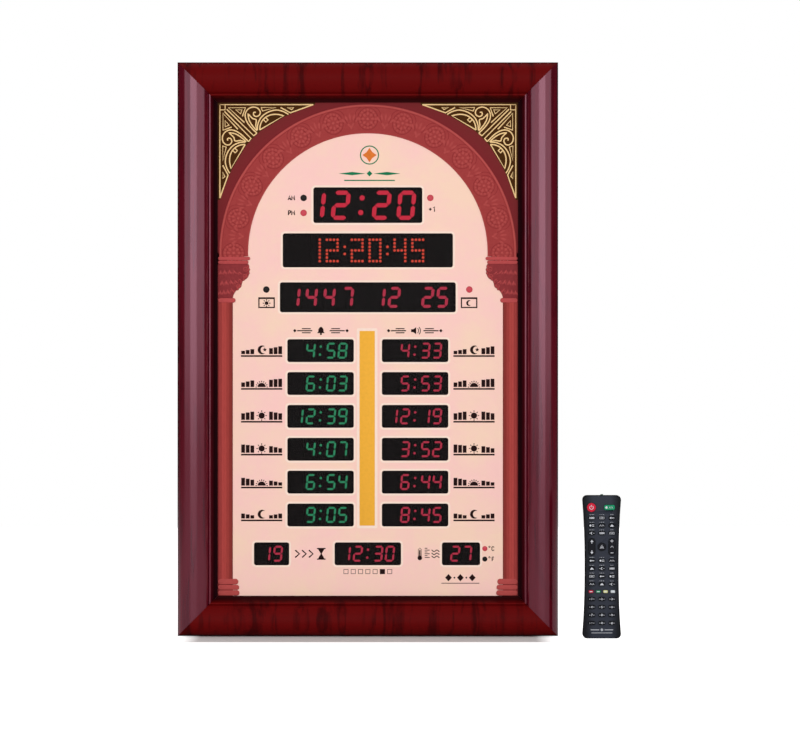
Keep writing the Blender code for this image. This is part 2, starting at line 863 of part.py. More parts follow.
def diode_cutter(name, remote):
    """The hole that the infrared diode looks out of, in the remote's upper end."""
    mesh = bmesh.new()
    radius = diode_radius + diode_hole_clearance
    place = Matrix.Translation((0, remote_y(diode_depth()), remote_height - diode_length / 2))
    bmesh.ops.create_cone(
        mesh, cap_ends=True, segments=diode_sides, radius1=radius, radius2=radius,
        depth=diode_length + 2 * cutter_overrun, matrix=place)
    return new_cutter(name, mesh, remote)


def diode_depth():
    """The depth of the infrared diode's axis, at the middle of the board."""
    return (remote_board_front + remote_board_back) / 2


def build_remote_upper_shell(remote):
    """The face: a shallow tray with a hole for every key."""
    near = remote_y(0)
    tray = remote_half_shell(near, remote_y(remote_parting_depth), near, remote_front_round)
    shell = new_part("remote_upper_shell", tray, remote_plastic, remote, smooth_angle=40)
    inside = outline_cutter(
        "upper_shell_inside", remote_wall, remote_face_wall, remote_parting_depth + cutter_overrun, remote)
    combine(shell, inside, "DIFFERENCE")
    holes = bmesh.new()
    for key in key_layout():
        outline = key_outline(key, key_clearance)
        add_prism(
            holes, shifted(outline, key["x"], key["z"]),
            remote_y(0) - cutter_overrun, remote_y(remote_face_wall) + cutter_overrun)
    combine(shell, new_cutter("key_holes", holes, remote), "DIFFERENCE")
    combine(shell, diode_cutter("upper_diode_hole", remote), "DIFFERENCE")


def build_remote_lower_shell(remote):
    """The back: a deeper tray with a tongue that fits inside the face, and the battery bay."""
    near = remote_y(remote_parting_depth + seat_gap)
    far = remote_y(remote_depth)
    tray = remote_half_shell(near, far, far, remote_rear_round)
    shell = new_part("remote_lower_shell", tray, remote_plastic, remote, smooth_angle=40)
    tongue_front = remote_parting_depth - remote_tongue_reach
    tongue = outline_cutter(
        "lower_shell_tongue", remote_wall + seat_gap, tongue_front,
        remote_parting_depth + seat_gap + fuse_overlap, remote)
    combine(shell, tongue, "UNION")
    inside = outline_cutter(
        "lower_shell_inside", remote_cavity_inset, tongue_front - cutter_overrun,
        remote_depth - remote_rear_wall, remote)
    combine(shell, inside, "DIFFERENCE")

    half_bay = bay_width / 2 + bay_wall
    half_length = bay_length / 2 + bay_wall
    mesh = bmesh.new()
    add_box(
        mesh,
        (-half_bay, remote_y(bay_floor_front), bay_centre_z - half_length),
        (half_bay, remote_y(remote_depth - remote_rear_wall + fuse_overlap), bay_centre_z + half_length),
    )
    combine(shell, new_cutter("bay_block", mesh, remote), "UNION")

    mesh = bmesh.new()
    add_box(
        mesh,
        (-bay_width / 2, remote_y(bay_floor_back), bay_centre_z - bay_length / 2),
        (bay_width / 2, remote_y(remote_depth) + cutter_overrun, bay_centre_z + bay_length / 2),
    )
    combine(shell, new_cutter("bay_inside", mesh, remote), "DIFFERENCE")

    seat_width, seat_length = battery_cover_size(seat_gap)
    seat_front = remote_y(remote_depth - battery_cover_thickness - seat_gap)
    mesh = bmesh.new()
    add_box(
        mesh,
        (-seat_width / 2, seat_front, bay_centre_z - seat_length / 2),
        (seat_width / 2, remote_y(remote_depth) + cutter_overrun, bay_centre_z + seat_length / 2),
    )
    combine(shell, new_cutter("cover_seat", mesh, remote), "DIFFERENCE")
    combine(shell, diode_cutter("lower_diode_hole", remote), "DIFFERENCE")


def battery_cover_size(clearance):
    """(width, length) of the battery cover, grown by a clearance on each side."""
    width = bay_width + 2 * battery_cover_rim + 2 * clearance
    length = bay_length + 2 * battery_cover_rim + 2 * clearance
    return width, length


def build_battery_cover(remote):
    """The cover of the battery bay, with grip ribs. Its origin is on the lower edge that it tilts about."""
    width, length = battery_cover_size(0)
    hinge = (0, remote_y(remote_depth), bay_centre_z - length / 2)
    mesh = bmesh.new()
    add_box(mesh, (-width / 2, -battery_cover_thickness, 0), (width / 2, 0, length))
    outer = [e for e in mesh.edges if all(abs(v.co.y) < seat_gap for v in e.verts)]
    bmesh.ops.bevel(
        mesh, geom=outer, offset=battery_cover_round, offset_type="OFFSET", segments=2,
        profile=0.5, affect="EDGES", material=-1)
    cover = new_part("remote_battery_cover", mesh, remote_plastic, remote, hinge)
    ribs = bmesh.new()
    for index in range(grip_rib_count):
        top = length - grip_top_margin - index * grip_rib_pitch
        add_box(
            ribs, (-grip_rib_width / 2, -fuse_overlap, top - grip_rib_height),
            (grip_rib_width / 2, grip_rib_rise, top))
    combine(cover, new_cutter("grip_ribs", ribs, remote, hinge), "UNION")


def build_remote_board(remote):
    """The remote's circuit board, with the infrared diode soldered to its upper end."""
    inset = remote_wall + remote_board_clearance
    mesh = bmesh.new()
    add_prism(mesh, remote_outline(inset), remote_y(remote_board_front), remote_y(remote_board_back))
    board = new_part("remote_circuit_board", mesh, circuit_board, remote)
    diode = bmesh.new()
    full_length = diode_length + diode_protrusion
    middle = remote_height + diode_protrusion - full_length / 2
    place = Matrix.Translation((0, remote_y(diode_depth()), middle))
    bmesh.ops.create_cone(
        diode, cap_ends=True, segments=diode_sides, radius1=diode_radius, radius2=diode_radius,
        depth=full_length, matrix=place)
    top = [e for e in diode.edges if all(v.co.z > remote_height for v in e.verts)]
    bmesh.ops.bevel(
        diode, geom=top, offset=diode_dome, offset_type="OFFSET", segments=2,
        profile=0.5, affect="EDGES", material=-1)
    combine(board, new_cutter("infrared_diode", diode, remote), "UNION")


def build_cells(remote):
    """Two small round cells, one each way up."""
    profile = [
        (0, cell_length / 2 + cell_nub_length),
        (cell_nub_radius, cell_length / 2 + cell_nub_length),
        (cell_nub_radius, cell_length / 2),
        (cell_radius - cell_edge, cell_length / 2),
        (cell_radius, cell_length / 2 - cell_edge),
        (cell_radius, -cell_length / 2 + cell_edge),
        (cell_radius - cell_edge, -cell_length / 2),
        (0, -cell_length / 2),
    ]
    for index, side in enumerate((-1, 1)):
        x = side * (cell_radius + bay_clearance / 2)
        turned_part(
            f"remote_cell_{index + 1}", profile, cell_steps, cell_sleeve, remote,
            (x, remote_y(cell_depth), bay_centre_z), (0, math.pi * index, 0))


# Remote keys


def key_entry(name, x_share, z_share, shape, material):
    """One key: its node name, place, shape and rubber."""
    return {
        "name": name,
        "x": x_share * remote_waist_half_width,
        "z": z_share * remote_height,
        "shape": shape,
        "material": material,
    }


def key_layout():
    """Every key on the remote's face, top to bottom."""
    keys = [
        key_entry("remote_key_power", *power_key_shares, "power", red_rubber),
        key_entry("remote_key_mode", *mode_key_shares, "mode", green_rubber),
        key_entry("remote_rocker_up_down", -key_column_share, rocker_z_share, "rocker", key_rubber),
        key_entry("remote_key_centre", 0, rocker_z_share, "centre", key_rubber),
        key_entry("remote_rocker_plus_minus", key_column_share, rocker_z_share, "rocker", key_rubber),
    ]
    blocks = (
        ("function", function_row_count, function_row_share, function_pitch_share),
        ("setting", setting_row_count, setting_row_share, setting_pitch_share),
        ("number", number_row_count, number_row_share, number_pitch_share),
    )
    for block, rows, first, pitch in blocks:
        for row in range(rows):
            for column in range(key_column_count):
                number = row * key_column_count + column + 1
                x_share = (column - (key_column_count - 1) / 2) * key_column_share
                keys.append(key_entry(
                    f"remote_key_{block}_{number}", x_share, first - row * pitch, "small", key_rubber))
    colours = (
        ("red", red_rubber), ("green", green_rubber), ("yellow", yellow_rubber), ("white", white_rubber))
    for index, (colour, rubber) in enumerate(colours):
        x_share = (index - (len(colours) - 1) / 2) * colour_pitch_share
        keys.append(key_entry(f"remote_key_{colour}", x_share, colour_row_share, "colour", rubber))
    return keys


def key_outline(key, grow):
    """A key's outline about its own middle, grown on every side."""
    shape = key["shape"]
    if shape == "power":
        return circle(power_key_radius + grow, round_key_sides)
    if shape == "centre":
        return circle(centre_key_radius + grow, round_key_sides)
    width, height, radius = {
        "mode": (mode_key_width, mode_key_height, mode_key_radius),
        "rocker": (rocker_width, rocker_height, rocker_radius),
        "small": (small_key_width, small_key_height, small_key_radius),
        "colour": (colour_key_width, colour_key_height, colour_key_radius),
    }[shape]
    return rounded_rectangle(width + 2 * grow, height + 2 * grow, radius + grow, key_corner_steps)


def build_key(key, remote):
    """A rubber key: a flange kept behind the face, a stem through it, and a rounded cap.

    A rocker has no flange, and two short wings at its middle that it tilts on."""
    mesh = bmesh.new()
    back = remote_y(key_back_depth)
    flange_front = remote_y(key_back_depth - key_flange_thickness)
    top = remote_y(-key_rise)
    if key["shape"] == "rocker":
        face = add_prism(mesh, key_outline(key, 0), back, top)
    else:
        face = add_prism(mesh, key_outline(key, key_flange_margin), back, flange_front)
        bmesh.ops.inset_region(mesh, faces=[face], thickness=key_flange_margin, use_even_offset=True)
        made = bmesh.ops.extrude_face_region(mesh, geom=[face])["geom"]
        bmesh.ops.delete(mesh, geom=[face], context="FACES_ONLY")
        moved = [item for item in made if isinstance(item, bmesh.types.BMVert)]
        bmesh.ops.translate(mesh, verts=moved, vec=(0, top - flange_front, 0))
    rim = [e for e in mesh.edges if all(abs(v.co.y - top) < key_edge_round / 4 for v in e.verts)]
    bmesh.ops.bevel(
        mesh, geom=rim, offset=key_edge_round, offset_type="OFFSET", segments=1,
        profile=0.5, affect="EDGES", material=-1)
    for vert in mesh.verts:
        vert.co.y -= flange_front
    location = (key["x"], flange_front, key["z"])
    item = new_part(key["name"], mesh, key["material"], remote, location, smooth_angle=40)
    if key["shape"] == "rocker":
        wings = bmesh.new()
        reach = rocker_width / 2 + key_flange_margin
        add_box(
            wings, (-reach, 0, -rocker_wing_height / 2),
            (reach, back - flange_front, rocker_wing_height / 2))
        combine(item, new_cutter(f"{key['name']}_wings", wings, remote, location), "UNION")


def build_remote():
    """The remote control, standing on its lower end beside the clock."""
    remote = new_empty("remote_stand", (remote_x, 0, 0))
    build_remote_upper_shell(remote)
    build_remote_lower_shell(remote)
    build_battery_cover(remote)
    build_remote_board(remote)
    build_cells(remote)
    for key in key_layout():
        build_key(key, remote)


def build_clock():
    """The clock."""
    clock = new_empty("clock", (0, 0, 0))
    build_frame(clock)
    build_front_sheets(clock)
    build_display_boards(clock)
    build_rear_cover(clock)
    build_speaker(clock)
    build_power_jack(clock)


build_clock()
build_remote()
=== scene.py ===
"""The looks of the LED prayer clock and of the remote control that stands beside it.

Metres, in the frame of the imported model: +X right seen from the front, +Z up, -Y towards the viewer.
"""

from __future__ import annotations

import logging
import math
from collections.abc import Callable, Iterable, Sequence
from dataclasses import dataclass, field
from enum import Enum

import bmesh
import bpy
from mathutils import Matrix, Vector


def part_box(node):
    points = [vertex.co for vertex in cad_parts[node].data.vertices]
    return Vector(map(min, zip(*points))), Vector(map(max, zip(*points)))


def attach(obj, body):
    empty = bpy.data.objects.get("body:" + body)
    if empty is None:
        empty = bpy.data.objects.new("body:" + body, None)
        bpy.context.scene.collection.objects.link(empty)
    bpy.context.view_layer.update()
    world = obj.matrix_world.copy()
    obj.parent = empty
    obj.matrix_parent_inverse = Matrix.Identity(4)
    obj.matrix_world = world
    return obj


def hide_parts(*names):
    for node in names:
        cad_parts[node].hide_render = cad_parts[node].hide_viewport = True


log = logging.getLogger("prayer_clock")

MM = 0.001
Point = tuple[float, float]
Colour = tuple[float, float, float]


def ink(red: int, green: int, blue: int) -> Colour:
    """Turns a screen colour into a linear one.

    Args:
        red: Red from 0 to 255.
        green: Green from 0 to 255.
        blue: Blue from 0 to 255.

    Returns:
        The colour as Blender's sockets take it.
    """

    def linear(level: int) -> float:
        """One channel, from the screen's curve to light."""
        share = level / 255
        return share / 12.92 if share <= 0.04045 else ((share + 0.055) / 1.055) ** 2.4

    return linear(red), linear(green), linear(blue)


class Body(Enum):
    """The bodies that pieces ride on."""

    CLOCK = "clock"
    REMOTE = "remote"
    BATTERY_COVER = "battery_cover"


# Shader maths


class Value:
    """An output socket of a material, with the arithmetic that adds Math nodes."""

    def __init__(self, tree: ShaderTree, socket: bpy.types.NodeSocket) -> None:
        """Keeps the tree and the socket."""
        self.tree = tree
        self.socket = socket

    def __add__(self, other: Value | float) -> Value:
        """Adds."""
        return self.tree.math("ADD", self, other)

    def __radd__(self, other: float) -> Value:
        """Adds, reflected."""
        return self.tree.math("ADD", other, self)

    def __sub__(self, other: Value | float) -> Value:
        """Subtracts."""
        return self.tree.math("SUBTRACT", self, other)

    def __rsub__(self, other: float) -> Value:
        """Subtracts, reflected."""
        return self.tree.math("SUBTRACT", other, self)

    def __mul__(self, other: Value | float) -> Value:
        """Multiplies."""
        return self.tree.math("MULTIPLY", self, other)

    def __rmul__(self, other: float) -> Value:
        """Multiplies, reflected."""
        return self.tree.math("MULTIPLY", other, self)

    def __truediv__(self, other: Value | float) -> Value:
        """Divides."""
        return self.tree.math("DIVIDE", self, other)


class ShaderTree:
    """A material's node tree, written as Python expressions."""

    def __init__(self, name: str) -> None:
        """Starts an empty material.

        Args:
            name: The material's name.
        """
        self.material = bpy.data.materials.new(name)
        self.material.use_nodes = True
        self.nodes = self.material.node_tree.nodes
        self.links = self.material.node_tree.links
        self.nodes.clear()

    def node(
        self, kind: str, settings: dict | None = None, inputs: dict | None = None
    ) -> bpy.types.Node:
        """Adds a node, its settings first and its sockets after.

        Args:
            kind: The node's type.
            settings: Attribute values, and a ramp's stops under "stops".
            inputs: Values or links by socket name or index.

        Returns:
            The node.
        """
        made = self.nodes.new(kind)
        for key, value in (settings or {}).items():
            if key == "stops":
                self._set_stops(made, value)
            else:
                setattr(made, key, value)
        for key, value in (inputs or {}).items():
            self._feed(made.inputs[key], value)
        return made

    def _set_stops(self, ramp: bpy.types.Node, stops: Sequence[tuple[float, Colour]]) -> None:
        """Gives a ramp its stops."""
        elements = ramp.color_ramp.elements
        while len(elements) < len(stops):
            elements.new(1.0)
        for element, (place, colour) in zip(elements, stops):
            element.position = place
            element.color = (*colour, 1.0)

    def _feed(self, socket: bpy.types.NodeSocket, value: object) -> None:
        """Links a value to a socket, or sets it."""
        if isinstance(value, Value):
            self.links.new(value.socket, socket)
        elif socket.type == "RGBA" and len(value) == 3:
            socket.default_value = (*value, 1.0)
        else:
            socket.default_value = value

    def math(self, operation: str, *values: Value | float, clamp: bool = False) -> Value:
        """A Math node's result."""
        made = self.node(
            "ShaderNodeMath", {"operation": operation, "use_clamp": clamp}, dict(enumerate(values)))
        return Value(self, made.outputs[0])

    def coordinates(self) -> Value:
        """The piece's Object coordinates."""
        return Value(self, self.node("ShaderNodeTexCoord").outputs["Object"])

    def axes(self, vector: Value) -> tuple[Value, Value, Value]:
        """A vector's x, y and z."""
        made = self.node("ShaderNodeSeparateXYZ", inputs={0: vector})
        return tuple(Value(self, output) for output in made.outputs)

    def stretch(self, vector: Value, scale: Sequence[float]) -> Value:
        """A vector scaled along each axis."""
        made = self.node("ShaderNodeMapping", inputs={"Vector": vector, "Scale": tuple(scale)})
        return Value(self, made.outputs[0])

    def noise(self, vector: Value, scale: float, detail: float = 2.0, distortion: float = 0.0) -> Value:
        """Noise from 0 to 1."""
        made = self.node("ShaderNodeTexNoise", inputs={
            "Vector": vector, "Scale": scale, "Detail": detail, "Distortion": distortion})
        return Value(self, made.outputs["Fac"])

    def ramp(self, factor: Value, stops: Sequence[tuple[float, Colour]]) -> Value:
        """A colour by a factor."""
        made = self.node("ShaderNodeValToRGB", {"stops": stops}, {0: factor})
        return Value(self, made.outputs["Color"])

    def levels(self, value: Value, low: float, high: float) -> Value:
        """A value spread from low and high to 0 and 1, and held there."""
        made = self.node("ShaderNodeMapRange", {"clamp": True}, {
            "Value": value, "From Min": low, "From Max": high})
        return Value(self, made.outputs["Result"])

    def mix(self, factor: Value | float, first: Value | Colour, second: Value | Colour) -> Value:
        """A mix of two colours."""
        made = self.node("ShaderNodeMix", {"data_type": "RGBA"}, {0: factor, 6: first, 7: second})
        return Value(self, made.outputs[2])

    def bump(self, height: Value, strength: float, distance: float) -> Value:
        """A normal bent by a height."""
        made = self.node("ShaderNodeBump", inputs={
            "Height": height, "Strength": strength, "Distance": distance})
        return Value(self, made.outputs["Normal"])

    def shader(self, **sockets: Value | float | Colour) -> Value:
        """A Principled BSDF, its socket names with underscores for spaces."""
        inputs = {name.replace("_", " "): value for name, value in sockets.items()}
        return Value(self, self.node("ShaderNodeBsdfPrincipled", inputs=inputs).outputs[0])

    def blend(self, share: Value, first: Value, second: Value) -> Value:
        """Two shaders mixed by a share."""
        mixer = self.node("ShaderNodeMixShader", inputs={0: share, 1: first, 2: second})
        return Value(self, mixer.outputs[0])

    def finished(self, shader: Value) -> bpy.types.Material:
        """Ends the tree in a shader."""
        self.node("ShaderNodeOutputMaterial", inputs={"Surface": shader})
        return self.material

    def surface(self, **sockets: Value | float | Colour) -> bpy.types.Material:
        """Ends the tree in a Principled BSDF, its socket names with underscores for spaces."""
        return self.finished(self.shader(**sockets))


# Finishes


class Finish:
    """A surface finish, made into a material once."""

    slot = ""

    def build(self) -> bpy.types.Material:
        """Makes the material."""
        raise NotImplementedError

    def material(self) -> bpy.types.Material:
        """The finish's material, made the first time it is asked for."""
        name = str(self)
        if name not in _materials:
            _materials[name] = self.build()
        return _materials[name]


_materials: dict[str, bpy.types.Material] = {}


@dataclass(frozen=True)
class MahoganyFoil(Finish):
    """Dark red mahogany foil whose grain runs up the clock, painted darker towards the wall as shade.

    The stiles have a polished coat and the rails are left satin.
    """

    name: str
    plain: Colour
    streak: Colour
    # edge: the colour of the painted shade on the faces towards the wall
    edge: Colour
    crown_y: float
    wall_y: float
    polished_from: float
    streaks_per_metre: float = 78.0
    grain_stretch: float = 0.09
    waviness: float = 0.9
    board: Colour = ink(146, 108, 78)
    slot = "mahogany_foil"

    def build(self) -> bpy.types.Material:
        """Makes the material."""
        tree = ShaderTree(f"mahogany_{self.name}")
        place = tree.coordinates()
        x, y, _ = tree.axes(place)
        along = tree.stretch(place, (1.0, 0.35, self.grain_stretch))
        wave = tree.noise(along, self.streaks_per_metre, 2.0, self.waviness)
        fine = tree.noise(tree.stretch(place, (1.0, 1.0, self.grain_stretch / 3)), 420.0, 2.0)
        figure = tree.levels(wave * 0.86 + fine * 0.14, 0.50, 0.66)
        grained = tree.mix(figure * 0.85, self.plain, self.streak)
        # Painted shade: faces more than 9 to 17 mm behind the crown are painted darker, towards the wall.
        painted_shade_to_wall = tree.mix(tree.levels(y, self.crown_y + 9 * MM, self.crown_y + 17 * MM), grained, self.edge)
        colour = tree.mix(tree.levels(y, self.wall_y - 0.7 * MM, self.wall_y - 0.4 * MM), painted_shade_to_wall, self.board)
        satin = tree.shader(
            Base_Color=colour, Roughness=0.5, Specular_IOR_Level=0.04,
            Normal=tree.bump(fine, 0.04, 0.2 * MM))
        if not self.polished_from:
            return tree.finished(satin)
        polished = tree.shader(
            Base_Color=colour, Roughness=0.17, Specular_IOR_Level=1.0, IOR=1.55,
            Specular_Tint=ink(255, 196, 218), Normal=tree.bump(fine, 0.02, 0.1 * MM))
        outside = tree.levels(
            tree.math("ABSOLUTE", x), self.polished_from, self.polished_from + 0.4 * MM)
        return tree.finished(tree.blend(outside, satin, polished))


@dataclass(frozen=True)
class CreamPrint(Finish):
    """The face film's ground: cream mottled with pink, with a faint woven pattern."""

    cream: Colour = ink(248, 212, 190)
    pink: Colour = ink(250, 203, 196)
    slot = "printed_film"

    def build(self) -> bpy.types.Material:
        """Makes the material."""
        tree = ShaderTree("cream_print")
        place = tree.coordinates()
        clouds = tree.noise(place, 13.0, 2.0)
        specks = tree.noise(place, 160.0, 3.0)
        tone = tree.levels(clouds * 0.8 + specks * 0.2, 0.38, 0.62)
        colour = tree.mix(tone, self.cream, self.pink)
        return tree.surface(
            Base_Color=colour, Roughness=0.55, Specular_IOR_Level=0.05,
            Normal=tree.bump(specks, 0.04, 0.1 * MM))


@dataclass(frozen=True)
class Ink(Finish):
    """A printed colour on the film, a little uneven as print is."""

    name: str
    colour: Colour
    unevenness: float = 0.08
    slot = "printed_film"

    def build(self) -> bpy.types.Material:
        """Makes the material."""
        tree = ShaderTree(f"ink_{self.name}")
        grain = tree.noise(tree.coordinates(), 260.0, 3.0)
        darker = tuple(level * (1 - 2 * self.unevenness) for level in self.colour)
        colour = tree.mix(tree.levels(grain, 0.3, 0.7), darker, self.colour)
        return tree.surface(
            Base_Color=colour, Roughness=0.5, Specular_IOR_Level=0.05,
            Normal=tree.bump(grain, 0.04, 0.1 * MM))


@dataclass(frozen=True)
class ReliefPrint(Finish):
    """Red print embossed in low relief: the print's own reds, with painted shade darkening its hollows and
    painted light on its crests.
    """

    name: str
    hollow: Colour
    crest: Colour
    base_y: float
    rise: float
    slot = "printed_film"

    def build(self) -> bpy.types.Material:
        """Makes the material."""
        tree = ShaderTree(f"relief_{self.name}")
        place = tree.coordinates()
        _, y, _ = tree.axes(place)
        # Painted shade and light: the colour runs from dark in the hollows to light on the crests, by height
        # above the film.
        height = tree.levels(self.base_y - y, 0.0, self.rise)
        grain = tree.noise(place, 300.0, 3.0)
        tone = tree.levels(height * 0.85 + grain * 0.3, 0.0, 1.15)
        colour = tree.mix(tone, self.hollow, self.crest)
        return tree.surface(
            Base_Color=colour, Roughness=0.55, Specular_IOR_Level=0.06,
            Normal=tree.bump(grain, 0.06, 0.1 * MM))


@dataclass(frozen=True)
class SmokedAcrylic(Finish):
    """The smoked sheet that the LED modules shine through."""

    opacity: float = 0.42
    slot = "smoked_acrylic"

    def build(self) -> bpy.types.Material:
        """Makes the material."""
        tree = ShaderTree("smoked_acrylic")
        haze = tree.noise(tree.coordinates(), 40.0, 2.0)
        return tree.surface(
            Base_Color=tree.mix(haze, ink(22, 19, 19), ink(27, 23, 23)),
            Roughness=0.12 + haze * 0.06,
            Specular_IOR_Level=0.02,
            Alpha=self.opacity,
        )


@dataclass(frozen=True)
class LitSegment(Finish):
    """A lit LED, seen as an even glow."""

    name: str
    colour: Colour
    strength: float
    slot = "circuit_board"

    def build(self) -> bpy.types.Material:
        """Makes the material."""
        tree = ShaderTree(f"led_{self.name}")
        glow = tree.noise(tree.coordinates(), 500.0, 2.0)
        dimmer = tuple(level * 0.82 for level in self.colour)
        return tree.surface(
            Base_Color=self.colour,
            Roughness=0.4,
            Emission_Color=tree.mix(glow, dimmer, self.colour),
            Emission_Strength=self.strength,
        )


@dataclass(frozen=True)
class Plastic(Finish):
    """Moulded plastic or rubber with a fine spark-eroded texture."""

    name: str
    colour: Colour
    roughness: float
    slot: str
    texture: float = 0.12
    texture_scale: float = 1800.0
    shine: float = 0.14

    def build(self) -> bpy.types.Material:
        """Makes the material."""
        tree = ShaderTree(f"plastic_{self.name}")
        grain = tree.noise(tree.coordinates(), self.texture_scale, 2.0)
        shade = tree.noise(tree.coordinates(), 60.0, 2.0)
        darker = tuple(level * 0.8 for level in self.colour)
        return tree.surface(
            Base_Color=tree.mix(shade, darker, self.colour),
            Roughness=self.roughness + grain * 0.1,
            Specular_IOR_Level=self.shine,
            Normal=tree.bump(grain, self.texture, 0.05 * MM),
        )


@dataclass(frozen=True)
class BareMetal(Finish):
    """Plated or brushed metal."""

    name: str
    colour: Colour
    roughness: float
    slot: str

    def build(self) -> bpy.types.Material:
        """Makes the material."""
        tree = ShaderTree(f"metal_{self.name}")
        scratches = tree.noise(tree.stretch(tree.coordinates(), (1.0, 1.0, 0.1)), 1500.0, 2.0)
        return tree.surface(
            Base_Color=self.colour, Metallic=1.0, Roughness=self.roughness + scratches * 0.12,
            Normal=tree.bump(scratches, 0.05, 0.05 * MM))


@dataclass(frozen=True)
class CircuitBoard(Finish):
    """Green solder mask with darker tracks."""

    slot = "circuit_board"

    def build(self) -> bpy.types.Material:
        """Makes the material."""
        tree = ShaderTree("solder_mask")
        place = tree.coordinates()
        made = tree.node(
            "ShaderNodeTexBrick", {"offset": 0.5},
            {"Vector": place, "Scale": 90.0, "Mortar Size": 0.03})
        tracks = Value(tree, made.outputs["Fac"])
        colour = tree.mix(tracks, ink(16, 62, 40), ink(30, 96, 60))
        return tree.surface(Base_Color=colour, Roughness=0.4, Normal=tree.bump(tracks, 0.2, 0.05 * MM))


BLACK_INK = Ink("label_black", ink(38, 18, 18))
RED_LIT = LitSegment("red", ink(226, 44, 70), 1.9)
RED_SOFT = LitSegment("red_soft", ink(198, 52, 78), 1.9)
GREEN_LIT = LitSegment("green", ink(52, 160, 112), 1.7)
DOT_LIT = LitSegment("dot_red", ink(240, 80, 58), 1.9)


# Mesh helpers


def add_plate(mesh: bmesh.types.BMesh, outline: Sequence[Point], back: float, front: float) -> None:
    """Adds a flat plate that faces the viewer.

    Args:
        mesh: The mesh to add to.
        outline: The plate's corners as (x, z).
        back: The y of its back.
        front: The y of its front.
    """
    face = mesh.faces.new([mesh.verts.new((x, back, z)) for x, z in outline])
    made = bmesh.ops.extrude_face_region(mesh, geom=[face])["geom"]
    moved = [item for item in made if isinstance(item, bmesh.types.BMVert)]
    bmesh.ops.translate(mesh, verts=moved, vec=(0, front - back, 0))


def add_box(mesh: bmesh.types.BMesh, low: Sequence[float], high: Sequence[float]) -> None:
    """Adds a box between two corners."""
    size = [b - a for a, b in zip(low, high)]
    middle = [(a + b) / 2 for a, b in zip(low, high)]
    place = Matrix.Translation(middle) @ Matrix.Diagonal((*size, 1.0))
    bmesh.ops.create_cube(mesh, size=1.0, matrix=place)


def add_drop(
    mesh: bmesh.types.BMesh, middle: Sequence[float], half_size: Sequence[float],
    turn: float = 0.0, segments: int = 10, rings: int = 6,
) -> None:
    """Adds an egg of low relief, such as a petal or a bead.

    Args:
        mesh: The mesh to add to.
        middle: Its middle.
        half_size: Half its width, depth and height before it is turned.
        turn: How far it is turned about Y, in radians, from upright to the right.
        segments: Its faces round.
        rings: Its faces from pole to pole.
    """
    place = (
        Matrix.Translation(middle) @ Matrix.Rotation(turn, 4, "Y") @ Matrix.Diagonal((*half_size, 1.0)))
    bmesh.ops.create_uvsphere(mesh, u_segments=segments, v_segments=rings, radius=1.0, matrix=place)


def arc(centre: Point, radius: float, start: float, end: float, steps: int) -> list[Point]:
    """Points along an arc, its angles in degrees from the right, turning towards the top."""
    points = []
    for step in range(steps + 1):
        angle = math.radians(start + (end - start) * step / steps)
        points.append((centre[0] + radius * math.cos(angle), centre[1] + radius * math.sin(angle)))
    return points


def rounded_rectangle(
    centre: Point, width: float, height: float, radius: float, steps: int = 5,
) -> list[Point]:
    """The outline of a rectangle with round corners."""
    points = []
    for quarter, (side, end) in enumerate(((1, 1), (-1, 1), (-1, -1), (1, -1))):
        corner = (centre[0] + side * (width / 2 - radius), centre[1] + end * (height / 2 - radius))
        points += arc(corner, radius, 90 * quarter, 90 * quarter + 90, steps)
    return points


def make_piece(
    name: str, mesh: bmesh.types.BMesh, finish: Finish, body: Body | str, smooth: float | None = 35.0,
) -> bpy.types.Object:
    """Turns a mesh into a piece that rides on a body.

    Args:
        name: The piece's name.
        mesh: Its mesh, in the model's frame. It is freed.
        finish: Its finish.
        body: The body that it rides on.
        smooth: The sharpest angle in degrees that is shaded smooth, or None for flat faces.

    Returns:
        The piece.
    """
    bmesh.ops.remove_doubles(mesh, verts=mesh.verts, dist=0.002 * MM)
    bmesh.ops.recalc_face_normals(mesh, faces=mesh.faces)
    data = bpy.data.meshes.new(name)
    mesh.to_mesh(data)
    mesh.free()
    data.materials.append(finish.material())
    if smooth is not None:
        data.shade_smooth()
        data.set_sharp_from_angle(angle=math.radians(smooth))
    piece = bpy.data.objects.new(name, data)
    bpy.context.scene.collection.objects.link(piece)
    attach(piece, body.value if isinstance(body, Body) else body)
    log.info("%s: %d faces", name, len(data.polygons))
    return piece


def add_line_art(
    mesh: bmesh.types.BMesh, paths: Iterable[tuple[Sequence[Point], bool]], width: float,
    surface_y: float, rise: float,
) -> None:
    """Adds raised lines of one width, such as gold outlines.

    Args:
        mesh: The mesh to add to.
        paths: Points (x, z) of each line, and whether it is closed.
        width: The lines' width.
        surface_y: The y of the surface that they lie on.
        rise: How far they stand out of it.
    """
    curve = bpy.data.curves.new("line_art", "CURVE")
    curve.dimensions = "3D"
    curve.bevel_depth = width / 2
    curve.bevel_resolution = 1
    curve.use_fill_caps = True
    for points, closed in paths:
        spline = curve.splines.new("POLY")
        spline.points.add(len(points) - 1)
        spline.use_cyclic_u = closed
        for point, (x, z) in zip(spline.points, points):
            point.co = (x, 0.0, z, 1.0)
    guide = bpy.data.objects.new("line_art", curve)
    bpy.context.scene.collection.objects.link(guide)
    graph = bpy.context.evaluated_depsgraph_get()
    data = bpy.data.meshes.new_from_object(guide.evaluated_get(graph))
    flatten = Matrix.Translation((0, surface_y, 0)) @ Matrix.Diagonal((1.0, 2 * rise / width, 1.0, 1.0))
    data.transform(flatten)
    mesh.from_mesh(data)
    bpy.data.objects.remove(guide)
    bpy.data.curves.remove(curve)
    bpy.data.meshes.remove(data)


